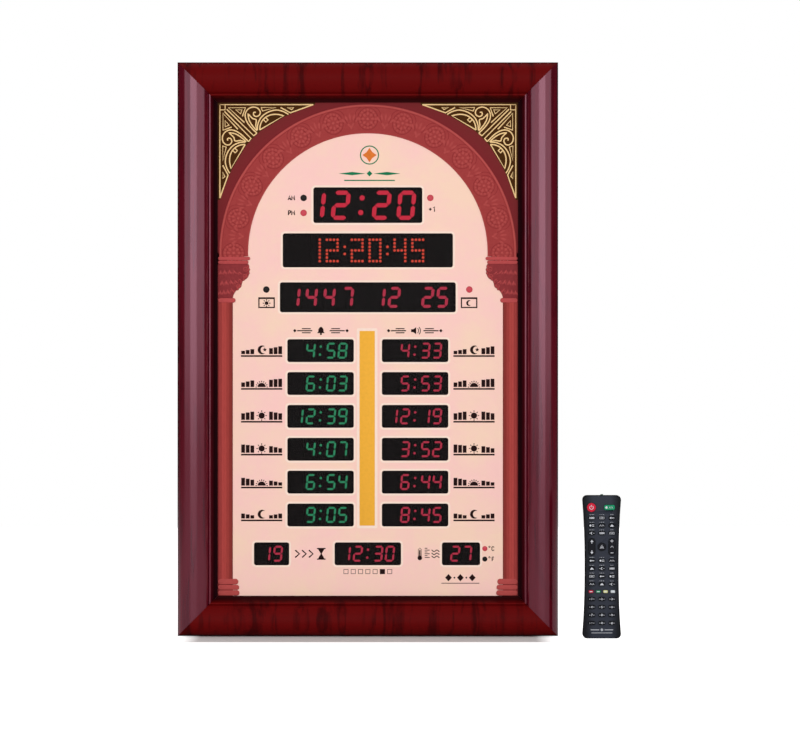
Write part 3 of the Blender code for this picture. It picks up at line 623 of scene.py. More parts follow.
def add_text(
    mesh: bmesh.types.BMesh, text: str, centre: Point, height: float, surface_y: float, rise: float,
    boldness: float = 0.0, squeeze: float = 1.0,
) -> None:
    """Adds plain figures or letters that face the viewer.

    Args:
        mesh: The mesh to add to.
        text: The characters.
        centre: Their middle as (x, z).
        height: Their height.
        surface_y: The y of the surface that they lie on.
        rise: How far they stand out of it.
        boldness: How far their outline is grown, as a share of their height.
        squeeze: Their width as a share of its usual one.
    """
    curve = bpy.data.curves.new("text", "FONT")
    curve.body = text
    curve.align_x = "CENTER"
    curve.align_y = "CENTER"
    curve.size = height / 0.72
    curve.offset = boldness * height
    curve.extrude = rise / 2
    curve.resolution_u = 3
    guide = bpy.data.objects.new("text", curve)
    bpy.context.scene.collection.objects.link(guide)
    graph = bpy.context.evaluated_depsgraph_get()
    data = bpy.data.meshes.new_from_object(guide.evaluated_get(graph))
    data.transform(
        Matrix.Translation((centre[0], surface_y - rise / 2, centre[1]))
        @ Matrix.Diagonal((squeeze, 1.0, 1.0, 1.0)) @ Matrix.Rotation(math.pi / 2, 4, "X"))
    mesh.from_mesh(data)
    bpy.data.objects.remove(guide)
    bpy.data.curves.remove(curve)
    bpy.data.meshes.remove(data)


# The face


@dataclass(frozen=True)
class Window:
    """A display window: its middle as (x, z), and its width and height."""

    x: float
    z: float
    width: float
    height: float


@dataclass
class Face:
    """The printed face: where its panel, arch and windows lie, placed from the panel's edges and the film's
    front, which are read from the imported nodes.
    """

    time_size: Point = (137.5 * MM, 45.0 * MM)
    message_size: Point = (214.8 * MM, 43.0 * MM)
    date_size: Point = (222.0 * MM, 37.8 * MM)
    prayer_size: Point = (83.9 * MM, 28.9 * MM)
    countdown_width: float = 44.4 * MM
    temperature_width: float = 48.2 * MM
    column_gap: float = 35.4 * MM
    footer_margins: Point = (45.8 * MM, 47.8 * MM)
    rise_shares: tuple[float, float, float] = (0.7918, 0.7002, 0.6051)
    first_prayer_share: float = 0.4970
    prayer_pitch_share: float = 0.0666
    footer_share: float = 0.0854
    rows: int = 6
    corner_radius: float = 2.6 * MM
    arch_radius: float = 187.7 * MM
    arch_inner_radius: float = 151.1 * MM
    arch_rise: float = 432.8 * MM
    left: float = field(init=False)
    right: float = field(init=False)
    low: float = field(init=False)
    high: float = field(init=False)
    front: float = field(init=False)

    def __post_init__(self) -> None:
        """Reads the panel's edges and the film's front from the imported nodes."""
        self.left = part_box("frame_left_stile")[1].x
        self.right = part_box("frame_right_stile")[0].x
        self.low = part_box("frame_bottom_rail")[1].z
        self.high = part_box("frame_top_rail")[0].z
        self.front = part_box("printed_overlay")[0].y

    def z(self, share: float) -> float:
        """The height of a share of the panel."""
        return self.low + share * (self.high - self.low)

    @property
    def arch_centre(self) -> Point:
        """The middle of the arch, at its springing."""
        return 0.0, self.low + self.arch_rise

    @property
    def time(self) -> Window:
        """The main time's window."""
        return Window(0.0, self.z(self.rise_shares[0]), *self.time_size)

    @property
    def message(self) -> Window:
        """The dot-matrix window."""
        return Window(0.0, self.z(self.rise_shares[1]), *self.message_size)

    @property
    def date(self) -> Window:
        """The date's window."""
        return Window(0.0, self.z(self.rise_shares[2]), *self.date_size)

    def prayer(self, row: int, side: int) -> Window:
        """A prayer row's window, left with side -1 or right with side 1."""
        x = side * (self.prayer_size[0] + self.column_gap) / 2
        return Window(x, self.z(self.first_prayer_share - row * self.prayer_pitch_share), *self.prayer_size)

    @property
    def countdown(self) -> Window:
        """The countdown's window."""
        x = self.left + self.footer_margins[0] + self.countdown_width / 2
        return Window(x, self.z(self.footer_share), self.countdown_width, self.prayer_size[1])

    @property
    def midday(self) -> Window:
        """The weekly midday prayer's window."""
        return Window(0.0, self.z(self.footer_share), *self.prayer_size)

    @property
    def temperature(self) -> Window:
        """The temperature's window."""
        x = self.right - self.footer_margins[1] - self.temperature_width / 2
        return Window(x, self.z(self.footer_share), self.temperature_width, self.prayer_size[1])

    def windows(self) -> list[Window]:
        """Every window of the face."""
        prayers = [self.prayer(row, side) for side in (-1, 1) for row in range(self.rows)]
        return [self.time, self.message, self.date, *prayers, self.countdown, self.midday, self.temperature]


@dataclass
class FramePieces:
    """The four lengths of moulding, finer than the solids they stand for."""

    width: float = 50.5 * MM
    crown: float = 19.0 * MM
    outer_wall: float = 31.0 * MM
    depth: float = 50.0 * MM
    groove: Point = (39.4 * MM, 40.0 * MM)
    bead_radius: float = 1.6 * MM
    cove_step: float = 1.6 * MM
    cove_sag_share: float = 0.22
    lip: Point = (30.8 * MM, 28.8 * MM)
    panel_rabbet: float = 8.0 * MM
    cover_rabbet: Point = (15.0 * MM, 2.8 * MM)
    fall_angle: float = 68.0

    def section(self) -> list[Point]:
        """The moulding's section as (offset from the outer edge, height off the wall)."""
        points = [(0.0, 0.0)]
        steps = 24
        for step in range(steps + 1):
            angle = math.pi / 2 * step / steps
            points.append((
                self.crown * (1 - math.cos(angle)),
                self.outer_wall + (self.depth - self.outer_wall) * math.sin(angle)))
        fall = math.radians(self.fall_angle)
        for step in range(1, steps + 1):
            angle = fall * step / steps
            points.append((
                self.crown + (self.groove[0] - self.crown) * math.sin(angle) / math.sin(fall),
                self.depth - (self.depth - self.groove[1]) * (1 - math.cos(angle)) / (1 - math.cos(fall))))
        middle = (self.groove[0] + self.bead_radius, self.groove[1])
        points += arc(middle, self.bead_radius, 180, 0, 12)[1:]
        start = (self.groove[0] + 2 * self.bead_radius, self.groove[1] - self.cove_step)
        for step in range(13):
            share = step / 12
            sag = self.cove_sag_share * math.sin(math.pi * share)
            points.append((
                start[0] + (self.width - start[0]) * share,
                start[1] - (start[1] - self.lip[0]) * (share + sag)))
        rabbet = self.width - self.panel_rabbet
        cover = self.width - self.cover_rabbet[0]
        points += [(self.width, self.lip[1]), (rabbet, self.lip[1])]
        points += [(rabbet, self.cover_rabbet[1]), (cover, self.cover_rabbet[1]), (cover, 0.0)]
        return points

    def rail(self, node: str, place: Callable[[float, float, float], Vector], length: float) -> None:
        """Builds one mitred length in place of its node.

        Args:
            node: The node that it stands for.
            place: Turns (along, offset, height) into a point.
            length: Its outer length.
        """
        mesh = bmesh.new()
        section = [mesh.verts.new((-1.0, offset, height)) for offset, height in self.section()]
        made = bmesh.ops.extrude_face_region(mesh, geom=[mesh.faces.new(section)])["geom"]
        moved = [item for item in made if isinstance(item, bmesh.types.BMVert)]
        bmesh.ops.translate(mesh, verts=moved, vec=(2.0, 0.0, 0.0))
        for vert in mesh.verts:
            side, offset, height = vert.co
            vert.co = place(side * (length / 2 - offset - 0.08 * MM), offset, height)
        piece = make_piece(f"{node}_moulding", mesh, self.finish(node), Body.CLOCK, 40.0)
        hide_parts(node)

    def finish(self, node: str) -> MahoganyFoil:
        """The foil of one length.

        Args:
            node: The length's node.

        Returns:
            The polished foil of a stile, or the satin foil of a rail.
        """
        low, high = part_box(node)
        if "stile" in node:
            outer = max(abs(low.x), abs(high.x))
            polished_from = outer - self.groove[0] - 2 * self.bead_radius
            # The third colour of each foil is painted shade for its faces towards the wall.
            return MahoganyFoil(
                "stile", ink(88, 4, 22), ink(66, 2, 14), ink(30, 1, 6), low.y, high.y, polished_from)
        return MahoganyFoil(
            "rail", ink(98, 7, 8), ink(60, 3, 5), ink(44, 3, 5), low.y, high.y, 0.0)

    def build(self) -> None:
        """Builds the four lengths."""
        low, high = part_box("frame_left_stile")[0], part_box("frame_right_stile")[1]
        wall = high.y
        middle_z = (low.z + high.z) / 2
        width, height = high.x - low.x, high.z - low.z
        self.rail("frame_top_rail", lambda a, o, h: Vector((a, wall - h, high.z - o)), width)
        self.rail("frame_bottom_rail", lambda a, o, h: Vector((a, wall - h, low.z + o)), width)
        self.rail("frame_left_stile", lambda a, o, h: Vector((low.x + o, wall - h, middle_z + a)), height)
        self.rail("frame_right_stile", lambda a, o, h: Vector((high.x - o, wall - h, middle_z + a)), height)


# Printed relief


def add_pillow(
    mesh: bmesh.types.BMesh, outline: Sequence[Point], back: float, front: float, edge: float,
    segments: int = 3,
) -> None:
    """Adds a plate whose front edge is rounded.

    Args:
        mesh: The mesh to add to.
        outline: The plate's corners as (x, z).
        back: The y of its back.
        front: The y of its front.
        edge: The radius of its front edge.
        segments: The faces of that round.
    """
    start = set(mesh.verts)
    add_plate(mesh, outline, back, front)
    fresh = set(mesh.verts) - start
    rim = [
        edge_ for edge_ in mesh.edges
        if all(vert in fresh and abs(vert.co.y - front) < 1e-6 for vert in edge_.verts)]
    bmesh.ops.bevel(
        mesh, geom=rim, offset=edge, offset_type="OFFSET", segments=segments, profile=0.5,
        affect="EDGES", clamp_overlap=True, material=-1)


def add_ring(
    mesh: bmesh.types.BMesh, inner: Sequence[Point], outer: Sequence[Point], back: float, front: float,
) -> None:
    """Adds a flat ring between two outlines of as many points.

    Args:
        mesh: The mesh to add to.
        inner: The hole's outline.
        outer: The ring's outline.
        back: The y of its back.
        front: The y of its front.
    """
    edges = []
    for outline in (inner, outer):
        corners = [mesh.verts.new((x, back, z)) for x, z in outline]
        edges += [mesh.edges.new((corners[i - 1], corners[i])) for i in range(len(corners))]
    faces = bmesh.ops.bridge_loops(mesh, edges=edges)["faces"]
    made = bmesh.ops.extrude_face_region(mesh, geom=faces)["geom"]
    moved = [item for item in made if isinstance(item, bmesh.types.BMVert)]
    bmesh.ops.translate(mesh, verts=moved, vec=(0, front - back, 0))


def add_reed(
    mesh: bmesh.types.BMesh, profile: Sequence[Point], low: float, high: float,
) -> None:
    """Adds a moulding that runs upwards, from its closed section as (x, y) points."""
    face = mesh.faces.new([mesh.verts.new((x, y, low)) for x, y in profile])
    made = bmesh.ops.extrude_face_region(mesh, geom=[face])["geom"]
    moved = [item for item in made if isinstance(item, bmesh.types.BMVert)]
    bmesh.ops.translate(mesh, verts=moved, vec=(0, 0, high - low))


def flow(points: Sequence[Point], steps: int = 6) -> list[Point]:
    """A smooth line through points."""
    padded = [points[0], *points, points[-1]]
    line = []
    for before, start, end, after in zip(padded, padded[1:], padded[2:], padded[3:]):
        for step in range(steps):
            t = step / steps
            line.append(tuple(
                0.5 * (2 * s + (e - b) * t + (2 * b - 5 * s + 4 * e - a) * t**2
                       + (3 * s - b - 3 * e + a) * t**3)
                for b, s, e, a in zip(before, start, end, after)))
    return [*line, points[-1]]


def spiral(
    centre: Point, first: float, last: float, start: float, turns: float, steps: int = 28,
) -> list[Point]:
    """Points of a spiral from one radius to another, starting at an angle in degrees."""
    points = []
    for step in range(steps + 1):
        share = step / steps
        angle = math.radians(start) + math.tau * turns * share
        radius = first + (last - first) * share
        points.append((centre[0] + radius * math.cos(angle), centre[1] + radius * math.sin(angle)))
    return points


@dataclass(frozen=True)
class FieldPrint(Finish):
    """The plain field round the arch: maroon by the band and browner further out."""

    centre: Point
    near: float
    far: float
    slot = "printed_film"

    def build(self) -> bpy.types.Material:
        """Makes the material."""
        tree = ShaderTree("arch_field")
        place = tree.coordinates()
        x, _, z = tree.axes(place)
        across = tree.math("POWER", tree.math("ABSOLUTE", x - self.centre[0]), 2.0)
        up = tree.math("POWER", tree.math("ABSOLUTE", z - self.centre[1]), 2.0)
        distance = tree.math("SQRT", across + up)
        grain = tree.noise(place, 240.0, 3.0)
        tone = tree.levels(distance, self.near, self.far)
        colour = tree.ramp(tone + (grain - 0.5) * 0.16, (
            (0.0, ink(120, 35, 40)), (0.4, ink(112, 41, 39)), (1.0, ink(98, 47, 38))))
        return tree.surface(Base_Color=colour, Roughness=0.55, Specular_IOR_Level=0.06)


@dataclass(frozen=True)
class ColumnPrint(Finish):
    """The columns' print: lit down the shaft's middle and shaded towards the doorway."""

    base_y: float
    rise: float
    inner_x: float
    outer_x: float
    slot = "printed_film"

    def build(self) -> bpy.types.Material:
        """Makes the material."""
        tree = ShaderTree("column_print")
        place = tree.coordinates()
        x, y, _ = tree.axes(place)
        across = tree.levels(tree.math("ABSOLUTE", x), self.inner_x, self.outer_x)
        height = tree.levels(self.base_y - y, 0.0, self.rise)
        grain = tree.noise(tree.stretch(place, (1.0, 1.0, 0.35)), 320.0, 3.0)
        body = tree.ramp(across, (
            (0.0, ink(124, 54, 46)), (0.22, ink(152, 58, 53)), (0.6, ink(182, 72, 67)),
            (1.0, ink(166, 66, 64))))
        shaded = tree.mix(tree.levels(height + grain * 0.25, 0.0, 0.8), ink(118, 34, 36), body)
        return tree.surface(
            Base_Color=shaded, Roughness=0.55, Specular_IOR_Level=0.06,
            Normal=tree.bump(grain, 0.05, 0.1 * MM))


@dataclass
class Arch:
    """The embossed arch band, its rosettes and leaves, and the field round it."""

    face: Face
    overlap: float = 0.9 * MM
    print_rise: float = 0.12 * MM
    band_rise: float = 0.45 * MM
    relief_rise: float = 1.15 * MM
    outer_roll: float = 3.2 * MM
    inner_roll: float = 1.6 * MM
    foot_angle: float = 1.6
    rosette_count: int = 13
    rosette_step: float = 15.0
    rosette_radius: float = 13.6 * MM
    oval: float = 0.9
    petal_count: int = 16

    def finish(self) -> Finish:
        """The band's finish."""
        return ReliefPrint(
            "arch", ink(146, 46, 48), ink(188, 84, 80), self.face.front - self.band_rise * 0.6,
            self.relief_rise - self.band_rise * 0.6)

    def on_arc(self, radius: float, angle: float) -> Point:
        """A point of the arch by its radius and its angle from the right, in degrees."""
        turn = math.radians(angle)
        x, z = self.face.arch_centre
        return x + radius * math.cos(turn), z + radius * math.sin(turn)

    def field(self) -> None:
        """The field between the arch and the panel's edge."""
        mesh = bmesh.new()
        face = self.face
        x, z = face.arch_centre
        foot = z - 14 * MM
        radius = face.arch_radius - 1 * MM
        outline = [
            (face.left - self.overlap, foot), (face.left - self.overlap, face.high + self.overlap),
            (face.right + self.overlap, face.high + self.overlap), (face.right + self.overlap, foot),
            (x + radius, foot)]
        outline += arc((x, z), radius, 0, 180, 96)
        outline += [(x - radius, foot)]
        add_plate(mesh, outline, face.front, face.front - self.print_rise)
        make_piece(
            "arch_field", mesh,
            FieldPrint((x, z), face.arch_radius, face.arch_radius + 75 * MM), Body.CLOCK)

    def band(self) -> None:
        """The band with a roll along its outer and inner edge."""
        face = self.face
        outer, inner = face.arch_radius, face.arch_inner_radius
        base = self.band_rise
        section = [(inner, 0.0), (inner, base)]
        section += [
            (inner + self.inner_roll * (0.5 - 0.5 * math.cos(math.pi * s / 4)),
             base + 0.2 * MM * math.sin(math.pi * s / 4)) for s in range(1, 5)]
        section += [(outer - self.outer_roll - 1.2 * MM, base), (outer - self.outer_roll, base - 0.2 * MM)]
        section += [
            (outer - self.outer_roll * (0.5 + 0.5 * math.cos(math.pi * s / 6)),
             base + 0.6 * MM * math.sin(math.pi * s / 6)) for s in range(1, 7)]
        section += [(outer, 0.0)]
        mesh = bmesh.new()
        x, z = face.arch_centre
        start = Matrix.Rotation(math.radians(self.foot_angle), 4, "Y")
        corners = [
            mesh.verts.new(Vector((x, face.front, z)) + start @ Vector((radius, -height, 0)))
            for radius, height in section]
        ring = mesh.faces.new(corners)
        bmesh.ops.spin(
            mesh, geom=[ring, *ring.edges, *ring.verts], cent=(x, face.front, z), axis=(0, -1, 0),
            angle=math.radians(180 + 2 * self.foot_angle), steps=120)
        make_piece("arch_band", mesh, self.finish(), Body.CLOCK, 50.0)

    def about(self, middle_radius: float, angle: float, across: float, outward: float) -> Point:
        """A point by its distance across and outward from a point of the arch."""
        x, z = self.on_arc(middle_radius, angle)
        turn = math.radians(90 - angle)
        return (
            x + across * math.cos(turn) + outward * math.sin(turn),
            z - across * math.sin(turn) + outward * math.cos(turn))

    def rosette(self, mesh: bmesh.types.BMesh, angle: float) -> None:
        """One oval medallion: a ring of scallops round a flower of broad petals."""
        middle = (self.face.arch_radius + self.face.arch_inner_radius) / 2
        ground = self.face.front - self.band_rise
        turn = math.radians(90 - angle)
        rise = self.relief_rise - self.band_rise
        for count, reach_share, width, height_share, length in (
                (self.petal_count, 0.84, 2.1 * MM, 0.62, 1.9 * MM),
                (self.petal_count // 2, 0.50, 2.0 * MM, 0.72, 2.7 * MM), (1, 0.0, 2.2 * MM, 0.9, 2.4 * MM)):
            for index in range(count):
                lean = math.tau * index / count
                reach = self.rosette_radius * reach_share
                x, z = self.about(
                    middle, angle, reach * self.oval * math.sin(lean), reach * math.cos(lean))
                add_drop(mesh, (x, ground, z), (width, rise * height_share, length), turn + lean, 8, 5)

    def outlines(self, angle: float) -> list[tuple[list[Point], bool]]:
        """The dark lines round a medallion and along the two leaves that curl round its sides, painted shade
        for sunk grooves.
        """
        middle = (self.face.arch_radius + self.face.arch_inner_radius) / 2
        paths = []
        for share in (1.04, 0.66):
            reach = self.rosette_radius * share
            paths.append(([
                self.about(middle, angle, reach * self.oval * math.sin(a), reach * math.cos(a))
                for a in (math.tau * step / 28 for step in range(28))], True))
        for side in (-1, 1):
            curl = flow([
                (side * 9.0, 14.6), (side * 13.6, 11.2), (side * 16.0, 5.4), (side * 16.2, -1.6),
                 (side * 19.0, -7.4),
                (side * 22.8, -8.6)], 3)
            paths.append(([self.about(middle, angle, a * MM, o * MM) for a, o in curl], False))
        return paths

    def spray(self, mesh: bmesh.types.BMesh, angle: float) -> None:
        """The leaves between two rosettes: a palmette near the outer edge over a small bud."""
        x, z = self.on_arc(self.face.arch_inner_radius + 8.5 * MM, angle)
        ground = self.face.front - self.band_rise
        outward = math.radians(90 - angle)
        rise = self.relief_rise - self.band_rise
        for index in range(-2, 3):
            lean = outward + math.radians(21) * index
            length = (8.4 - 0.7 * abs(index)) * MM
            reach = 9.5 * MM + length * 0.5
            add_drop(
                mesh, (x + reach * math.sin(lean), ground, z + reach * math.cos(lean)),
                (1.7 * MM, rise * 0.6, length * 0.6), lean, 7, 5)
        for side in (-1, 1):
            lean = outward + math.radians(34) * side
            add_drop(
                mesh, (x + 3.6 * MM * math.sin(lean), ground, z + 3.6 * MM * math.cos(lean)),
                (1.7 * MM, rise * 0.55, 3.6 * MM), lean, 7, 5)
        add_drop(mesh, (x, ground, z), (1.7 * MM, rise * 0.7, 2.4 * MM), outward, 8, 5)

    def build(self) -> None:
        """Builds the arch."""
        self.field()
        self.band()
        rosettes, leaves, groove_shades = bmesh.new(), bmesh.new(), bmesh.new()
        for index in range(self.rosette_count):
            angle = 90 + self.rosette_step * (index - (self.rosette_count - 1) / 2)
            self.rosette(rosettes, angle)
            paths = self.outlines(angle)
            last = index in (0, self.rosette_count - 1)
            # Painted shade: these dark ink lines stand for the shade in sunk grooves round each medallion.
            add_line_art(
                groove_shades, paths[:2] if last else paths, 0.9 * MM, self.face.front - self.band_rise, 0.12 * MM)
            if index:
                self.spray(leaves, angle - self.rosette_step / 2)
        make_piece("arch_rosettes", rosettes, self.finish(), Body.CLOCK, 60.0)
        make_piece("arch_rosette_groove_shades", groove_shades, Ink("relief_shadow", ink(146, 48, 50)), Body.CLOCK, 60.0)
        make_piece("arch_leaves", leaves, self.finish(), Body.CLOCK, 60.0)


@dataclass
class Columns:
    """The two fluted columns that carry the arch, embossed on the film."""

    face: Face
    shaft_width: float = 19.1 * MM
    lip_gap: float = 0.3 * MM
    overlap: float = 0.9 * MM
    print_rise: float = 0.12 * MM
    relief_rise: float = 1.4 * MM
    base_top: float = 72.0 * MM
    astragal: Point = (420.7 * MM, 426.5 * MM)
    abacus: Point = (469.3 * MM, 478.6 * MM)
    flute_count: int = 5

    def finish(self) -> Finish:
        """The columns' finish."""
        outer = self.face.right
        return ColumnPrint(
            self.face.front, self.relief_rise, outer - self.shaft_width, outer)

    def mirrored(self, side: int, points: Sequence[Point]) -> list[Point]:
        """Points given by |x|, on one side."""
        return [(side * x, z) for x, z in points]

    def shaft(self, mesh: bmesh.types.BMesh, side: int) -> None:
        """A half-round shaft with flutes."""
        outer = self.face.right - self.lip_gap
        inner = self.face.right - self.shaft_width
        steps = self.flute_count * 6
        profile = []
        for step in range(steps + 1):
            share = step / steps
            swell = math.sin(math.pi * min(1.0, 0.06 + share * 0.88)) * 0.6 * MM
            groove = 0.26 * MM * (1 - abs(math.sin(math.pi * share * self.flute_count))) ** 2
            profile.append((side * (inner + (outer - inner) * share), -(0.35 * MM + swell - groove)))
        section = [(x, self.face.front + y) for x, y in profile]
        section = [(side * inner, self.face.front), *section, (side * outer, self.face.front)]
        add_reed(mesh, section, self.base_top - 2 * MM, self.astragal[0] + 1 * MM)
        under = [
            (side * inner, self.face.low - self.overlap),
            (side * (self.face.right + self.overlap), self.face.low - self.overlap),
            (side * (self.face.right + self.overlap), self.abacus[1] + 6 * MM),
            (side * inner, self.abacus[1] - 10 * MM)]
        add_plate(mesh, under, self.face.front, self.face.front - self.print_rise)

    def roll(
        self, mesh: bmesh.types.BMesh, side: int, reach: float, low: float, high: float, rise: float,
    ) -> None:
        """A rounded moulding across the column, from the lip to a reach in |x|."""
        outer = self.face.right - self.lip_gap
        centre = (side * (outer + reach) / 2, (low + high) / 2)
        outline = rounded_rectangle(centre, outer - reach, high - low, (high - low) * 0.48, 4)
        add_pillow(
            mesh, outline, self.face.front, self.face.front - rise, min(rise, high - low) * 0.6, 3)

    def base(self, mesh: bmesh.types.BMesh, side: int) -> None:
        """Three rounds, each a little wider than the one above."""
        for index, (reach, low, high) in enumerate((
                (163.4 * MM, 65.0 * MM, 72.2 * MM), (162.4 * MM, 58.2 * MM, 64.6 * MM),
                (162.0 * MM, 51.0 * MM, 57.8 * MM))):
            self.roll(mesh, side, reach, low, high, (1.25 - 0.1 * index) * MM)
        for index in range(7):
            add_drop(
                mesh, (side * (166 + 3.6 * index) * MM, self.face.front - 1.0 * MM, 61.4 * MM),
                (1.3 * MM, 0.5 * MM, 2.2 * MM), 0.3 * side, 6, 5)

    def capital(self, mesh: bmesh.types.BMesh, side: int) -> None:
        """The bell with its leaves, under a moulded abacus."""
        front = self.face.front
        outer = self.face.right - self.lip_gap
        bell = flow([
            (150.6 * MM, 469.4 * MM), (149.4 * MM, 461 * MM), (151.5 * MM, 452.5 * MM),
            (158 * MM, 447.5 * MM), (160 * MM, 440.5 * MM), (165.5 * MM, 436.5 * MM),
            (169.2 * MM, 431 * MM), (170.4 * MM, 426.4 * MM)], 4)
        outline = self.mirrored(side, [(outer, 426.4 * MM), (outer, 469.4 * MM), *bell])
        add_pillow(mesh, outline, front, front - 0.55 * MM, 0.3 * MM, 2)
        self.roll(mesh, side, 148.6 * MM, 474.2 * MM, self.abacus[1], 1.35 * MM)
        self.roll(mesh, side, 150.6 * MM, self.abacus[0], 474.0 * MM, 1.05 * MM)
        self.roll(mesh, side, 167.0 * MM, *self.astragal, 1.3 * MM)
        for x, z, width, length, lean in (
                (186.5, 433.5, 2.2, 6.5, 0), (181.5, 434.0, 2.4, 7.0, -8), (176.3, 434.5, 2.4, 7.2, -16),
                (171.2, 436.5, 2.2, 6.4, -34), (184.2, 445.5, 2.5, 7.0, 4), (178.4, 446.0, 2.6, 7.2, -12),
                (172.2, 446.8, 2.6, 7.0, -26), (166.2, 447.0, 2.4, 6.4, -44), (161.4, 449.6, 2.0, 5.2, -62),
                (186.0, 458.8, 2.4, 6.2, 6), (180.4, 459.4, 2.6, 6.6, -10), (174.2, 459.8, 2.6, 6.6, -24),
                (168.0, 459.4, 2.4, 6.0, -40), (161.6, 458.4, 2.2, 5.6, -58)):
            for offset, share in ((0.0, 1.0), (1.7, 0.72), (-1.7, 0.72)):
                turn = -side * math.radians(lean + offset * 9)
                add_drop(
                    mesh,
                    (side * (x + offset) * MM, front - 0.5 * MM, (z - abs(offset) * 0.8) * MM),
                    (width * 0.46 * MM, 0.62 * MM * share, length * 0.5 * share * MM), turn, 7, 5)
        for x, z, radius in ((154.2, 463.4, 3.9), (155.4, 454.6, 3.0), (164.0, 441.6, 2.8)):
            line = self.mirrored(side, spiral((x * MM, z * MM), radius * MM, 0.7 * MM, 120, 1.6))
            add_line_art(mesh, [(line, False)], 1.3 * MM, front - 0.5 * MM, 0.6 * MM)
        for x, z in (
                (150.3, 466.6), (149.4, 462.4), (149.8, 457.8), (151.8, 453.6), (155.6, 450.2),
                (159.0, 446.4), (160.2, 442.0), (163.6, 437.8), (168.2, 434.4)):
            add_drop(
                mesh, (side * (x + 0.9) * MM, front - 0.4 * MM, z * MM),
                (1.7 * MM, 0.6 * MM, 1.7 * MM), 0.0, 8, 5)

    def build(self) -> None:
        """Builds both columns."""
        shafts, bases, capitals = bmesh.new(), bmesh.new(), bmesh.new()
        for side in (-1, 1):
            self.shaft(shafts, side)
            self.base(bases, side)
            self.capital(capitals, side)
        front = self.face.front
        base_print = ReliefPrint("base", ink(112, 34, 38), ink(186, 80, 77), front - 0.3 * MM, 0.8 * MM)
        capital_print = ReliefPrint("capital", ink(104, 28, 36), ink(192, 80, 80), front - 0.4 * MM, 0.7 * MM)
        make_piece("column_shafts", shafts, self.finish(), Body.CLOCK, 30.0)
        make_piece("column_bases", bases, base_print, Body.CLOCK, 50.0)
        make_piece("column_capitals", capitals, capital_print, Body.CLOCK, 55.0)


@dataclass
class CornerBrackets:
    """The gold fretwork in the panel's two upper corners, in (across, down) from each corner."""

    face: Face
    inset: float = 2.8 * MM
    top_inset: float = 2.9 * MM
    line_width: float = 1.8 * MM
    reach: float = 118.0 * MM
    ground_rise: float = 0.2 * MM
    line_rise: float = 0.3 * MM

    def place(self, side: int, point: Point) -> Point:
        """A point given by its distance across and down from a corner."""
        across, down = point
        return (
            side * (self.face.right - self.inset - across), self.face.high - self.top_inset - down)

    def ground(self, mesh: bmesh.types.BMesh, side: int) -> None:
        """The dark plate under the lines, which follows the leaves' own ends."""
        lap = -3.7
        half = [
            (120.2, lap), (120.2, -0.2), (89.0, 11.8), (81.4, 15.2), (51.0, 33.4), (47.9, 36.4),
            (43.1, 41.0)]
        corners = [(lap, lap), *half, *[(down, across) for across, down in reversed(half)]]
        outline = [self.place(side, (across * MM, down * MM)) for across, down in corners]
        add_plate(mesh, outline, self.face.front, self.face.front - self.ground_rise)

    def half_lines(self) -> list[tuple[list[Point], bool]]:
        """The lines of the half beside the top edge, in millimetres."""
        return [
            ([(8.6, 5.8), (42.7, 39.3), (46.6, 36.0)], False),
            ([(31.0, 22.6), (10.9, 3.9), (32.2, 3.9), (28.4, 14.8)], False),
            ([(20.0, 6.6), (27.8, 6.6), (26.0, 11.6)], True),
            (flow([
                (46.6, 36.0), (38.8, 28.2), (33.5, 20.4), (31.9, 12.8), (34.6, 6.6), (40.6, 3.2), (47.2, 4.2),
                (50.8, 8.6), (50.0, 12.9), (46.0, 15.0), (42.6, 13.2), (42.8, 9.8), (45.4, 9.8)], 5), False),
            (flow([(35.4, 11.4), (36.6, 18.7), (40.4, 25.7), (46.6, 33.0)], 4)
             + flow([(45.2, 25.7), (45.8, 19.2), (41.2, 17.4), (35.4, 11.4)], 4), True),
            ([(52.1, 3.6), (71.0, 3.6), (53.6, 8.0)], True),
            (flow([
                (47.2, 32.4), (48.0, 24.5), (52.1, 16.1), (60.5, 9.6), (70.8, 6.8), (79.8, 8.6),
                (86.5, 12.3)], 5), False),
            ([(50.2, 31.9), (80.8, 13.9)] + flow([
                (80.8, 13.9), (70.8, 12.2), (61.8, 13.7), (54.7, 18.7), (51.2, 25.1),
                 (50.2, 31.9)], 4), False),
            ([(54.9, 18.7), (57.9, 22.1), (60.9, 19.2), (58.2, 16.8)], False),
            ([(76.6, 3.6), (88.8, 10.3), (117.8, 0.0)], False),
            ([(84.9, 3.6), (93.3, 3.6), (90.7, 6.2)], True),
        ]

    def lines(self, mesh: bmesh.types.BMesh, side: int) -> None:
        """Every gold line of one corner."""
        paths = []
        for points, closed in self.half_lines():
            for flipped in (False, True):
                drawn = [
                    self.place(side, (z * MM, x * MM) if flipped else (x * MM, z * MM)) for x, z in points]
                paths.append((drawn, closed))
        border = [(self.reach, 0.0), (0.0, 0.0), (0.0, self.reach)]
        paths.append(([self.place(side, point) for point in border], False))
        square = [(0.0, 0.0), (6.6 * MM, 0.0), (6.6 * MM, 6.6 * MM), (0.0, 6.6 * MM)]
        paths.append(([self.place(side, point) for point in square], True))
        surface = self.face.front - self.ground_rise
        add_line_art(mesh, paths, self.line_width, surface, self.line_rise)

    def build(self) -> None:
        """Builds both corners."""
        ground, lines = bmesh.new(), bmesh.new()
        for side in (-1, 1):
            self.ground(ground, side)
            self.lines(lines, side)
        make_piece("corner_ground", ground, Ink("bracket_brown", ink(72, 40, 6)), Body.CLOCK)
        make_piece(
            "corner_gold_lines", lines, Ink("bracket_gold", ink(246, 208, 148), 0.04),
            Body.CLOCK, 60.0)


# Displays


SEGMENTS = {
    "0": "abcdef", "1": "bc", "2": "abged", "3": "abgcd", "4": "fgbc", "5": "afgcd",
    "6": "afgcde", "7": "abc", "8": "abcdefg", "9": "abcdfg",
}


@dataclass(frozen=True)
class DigitSize:
    """A size of LED digit."""

    height: float
    width: float
    stroke: float
    slant: float = math.radians(5.5)
    gap: float = 0.35 * MM


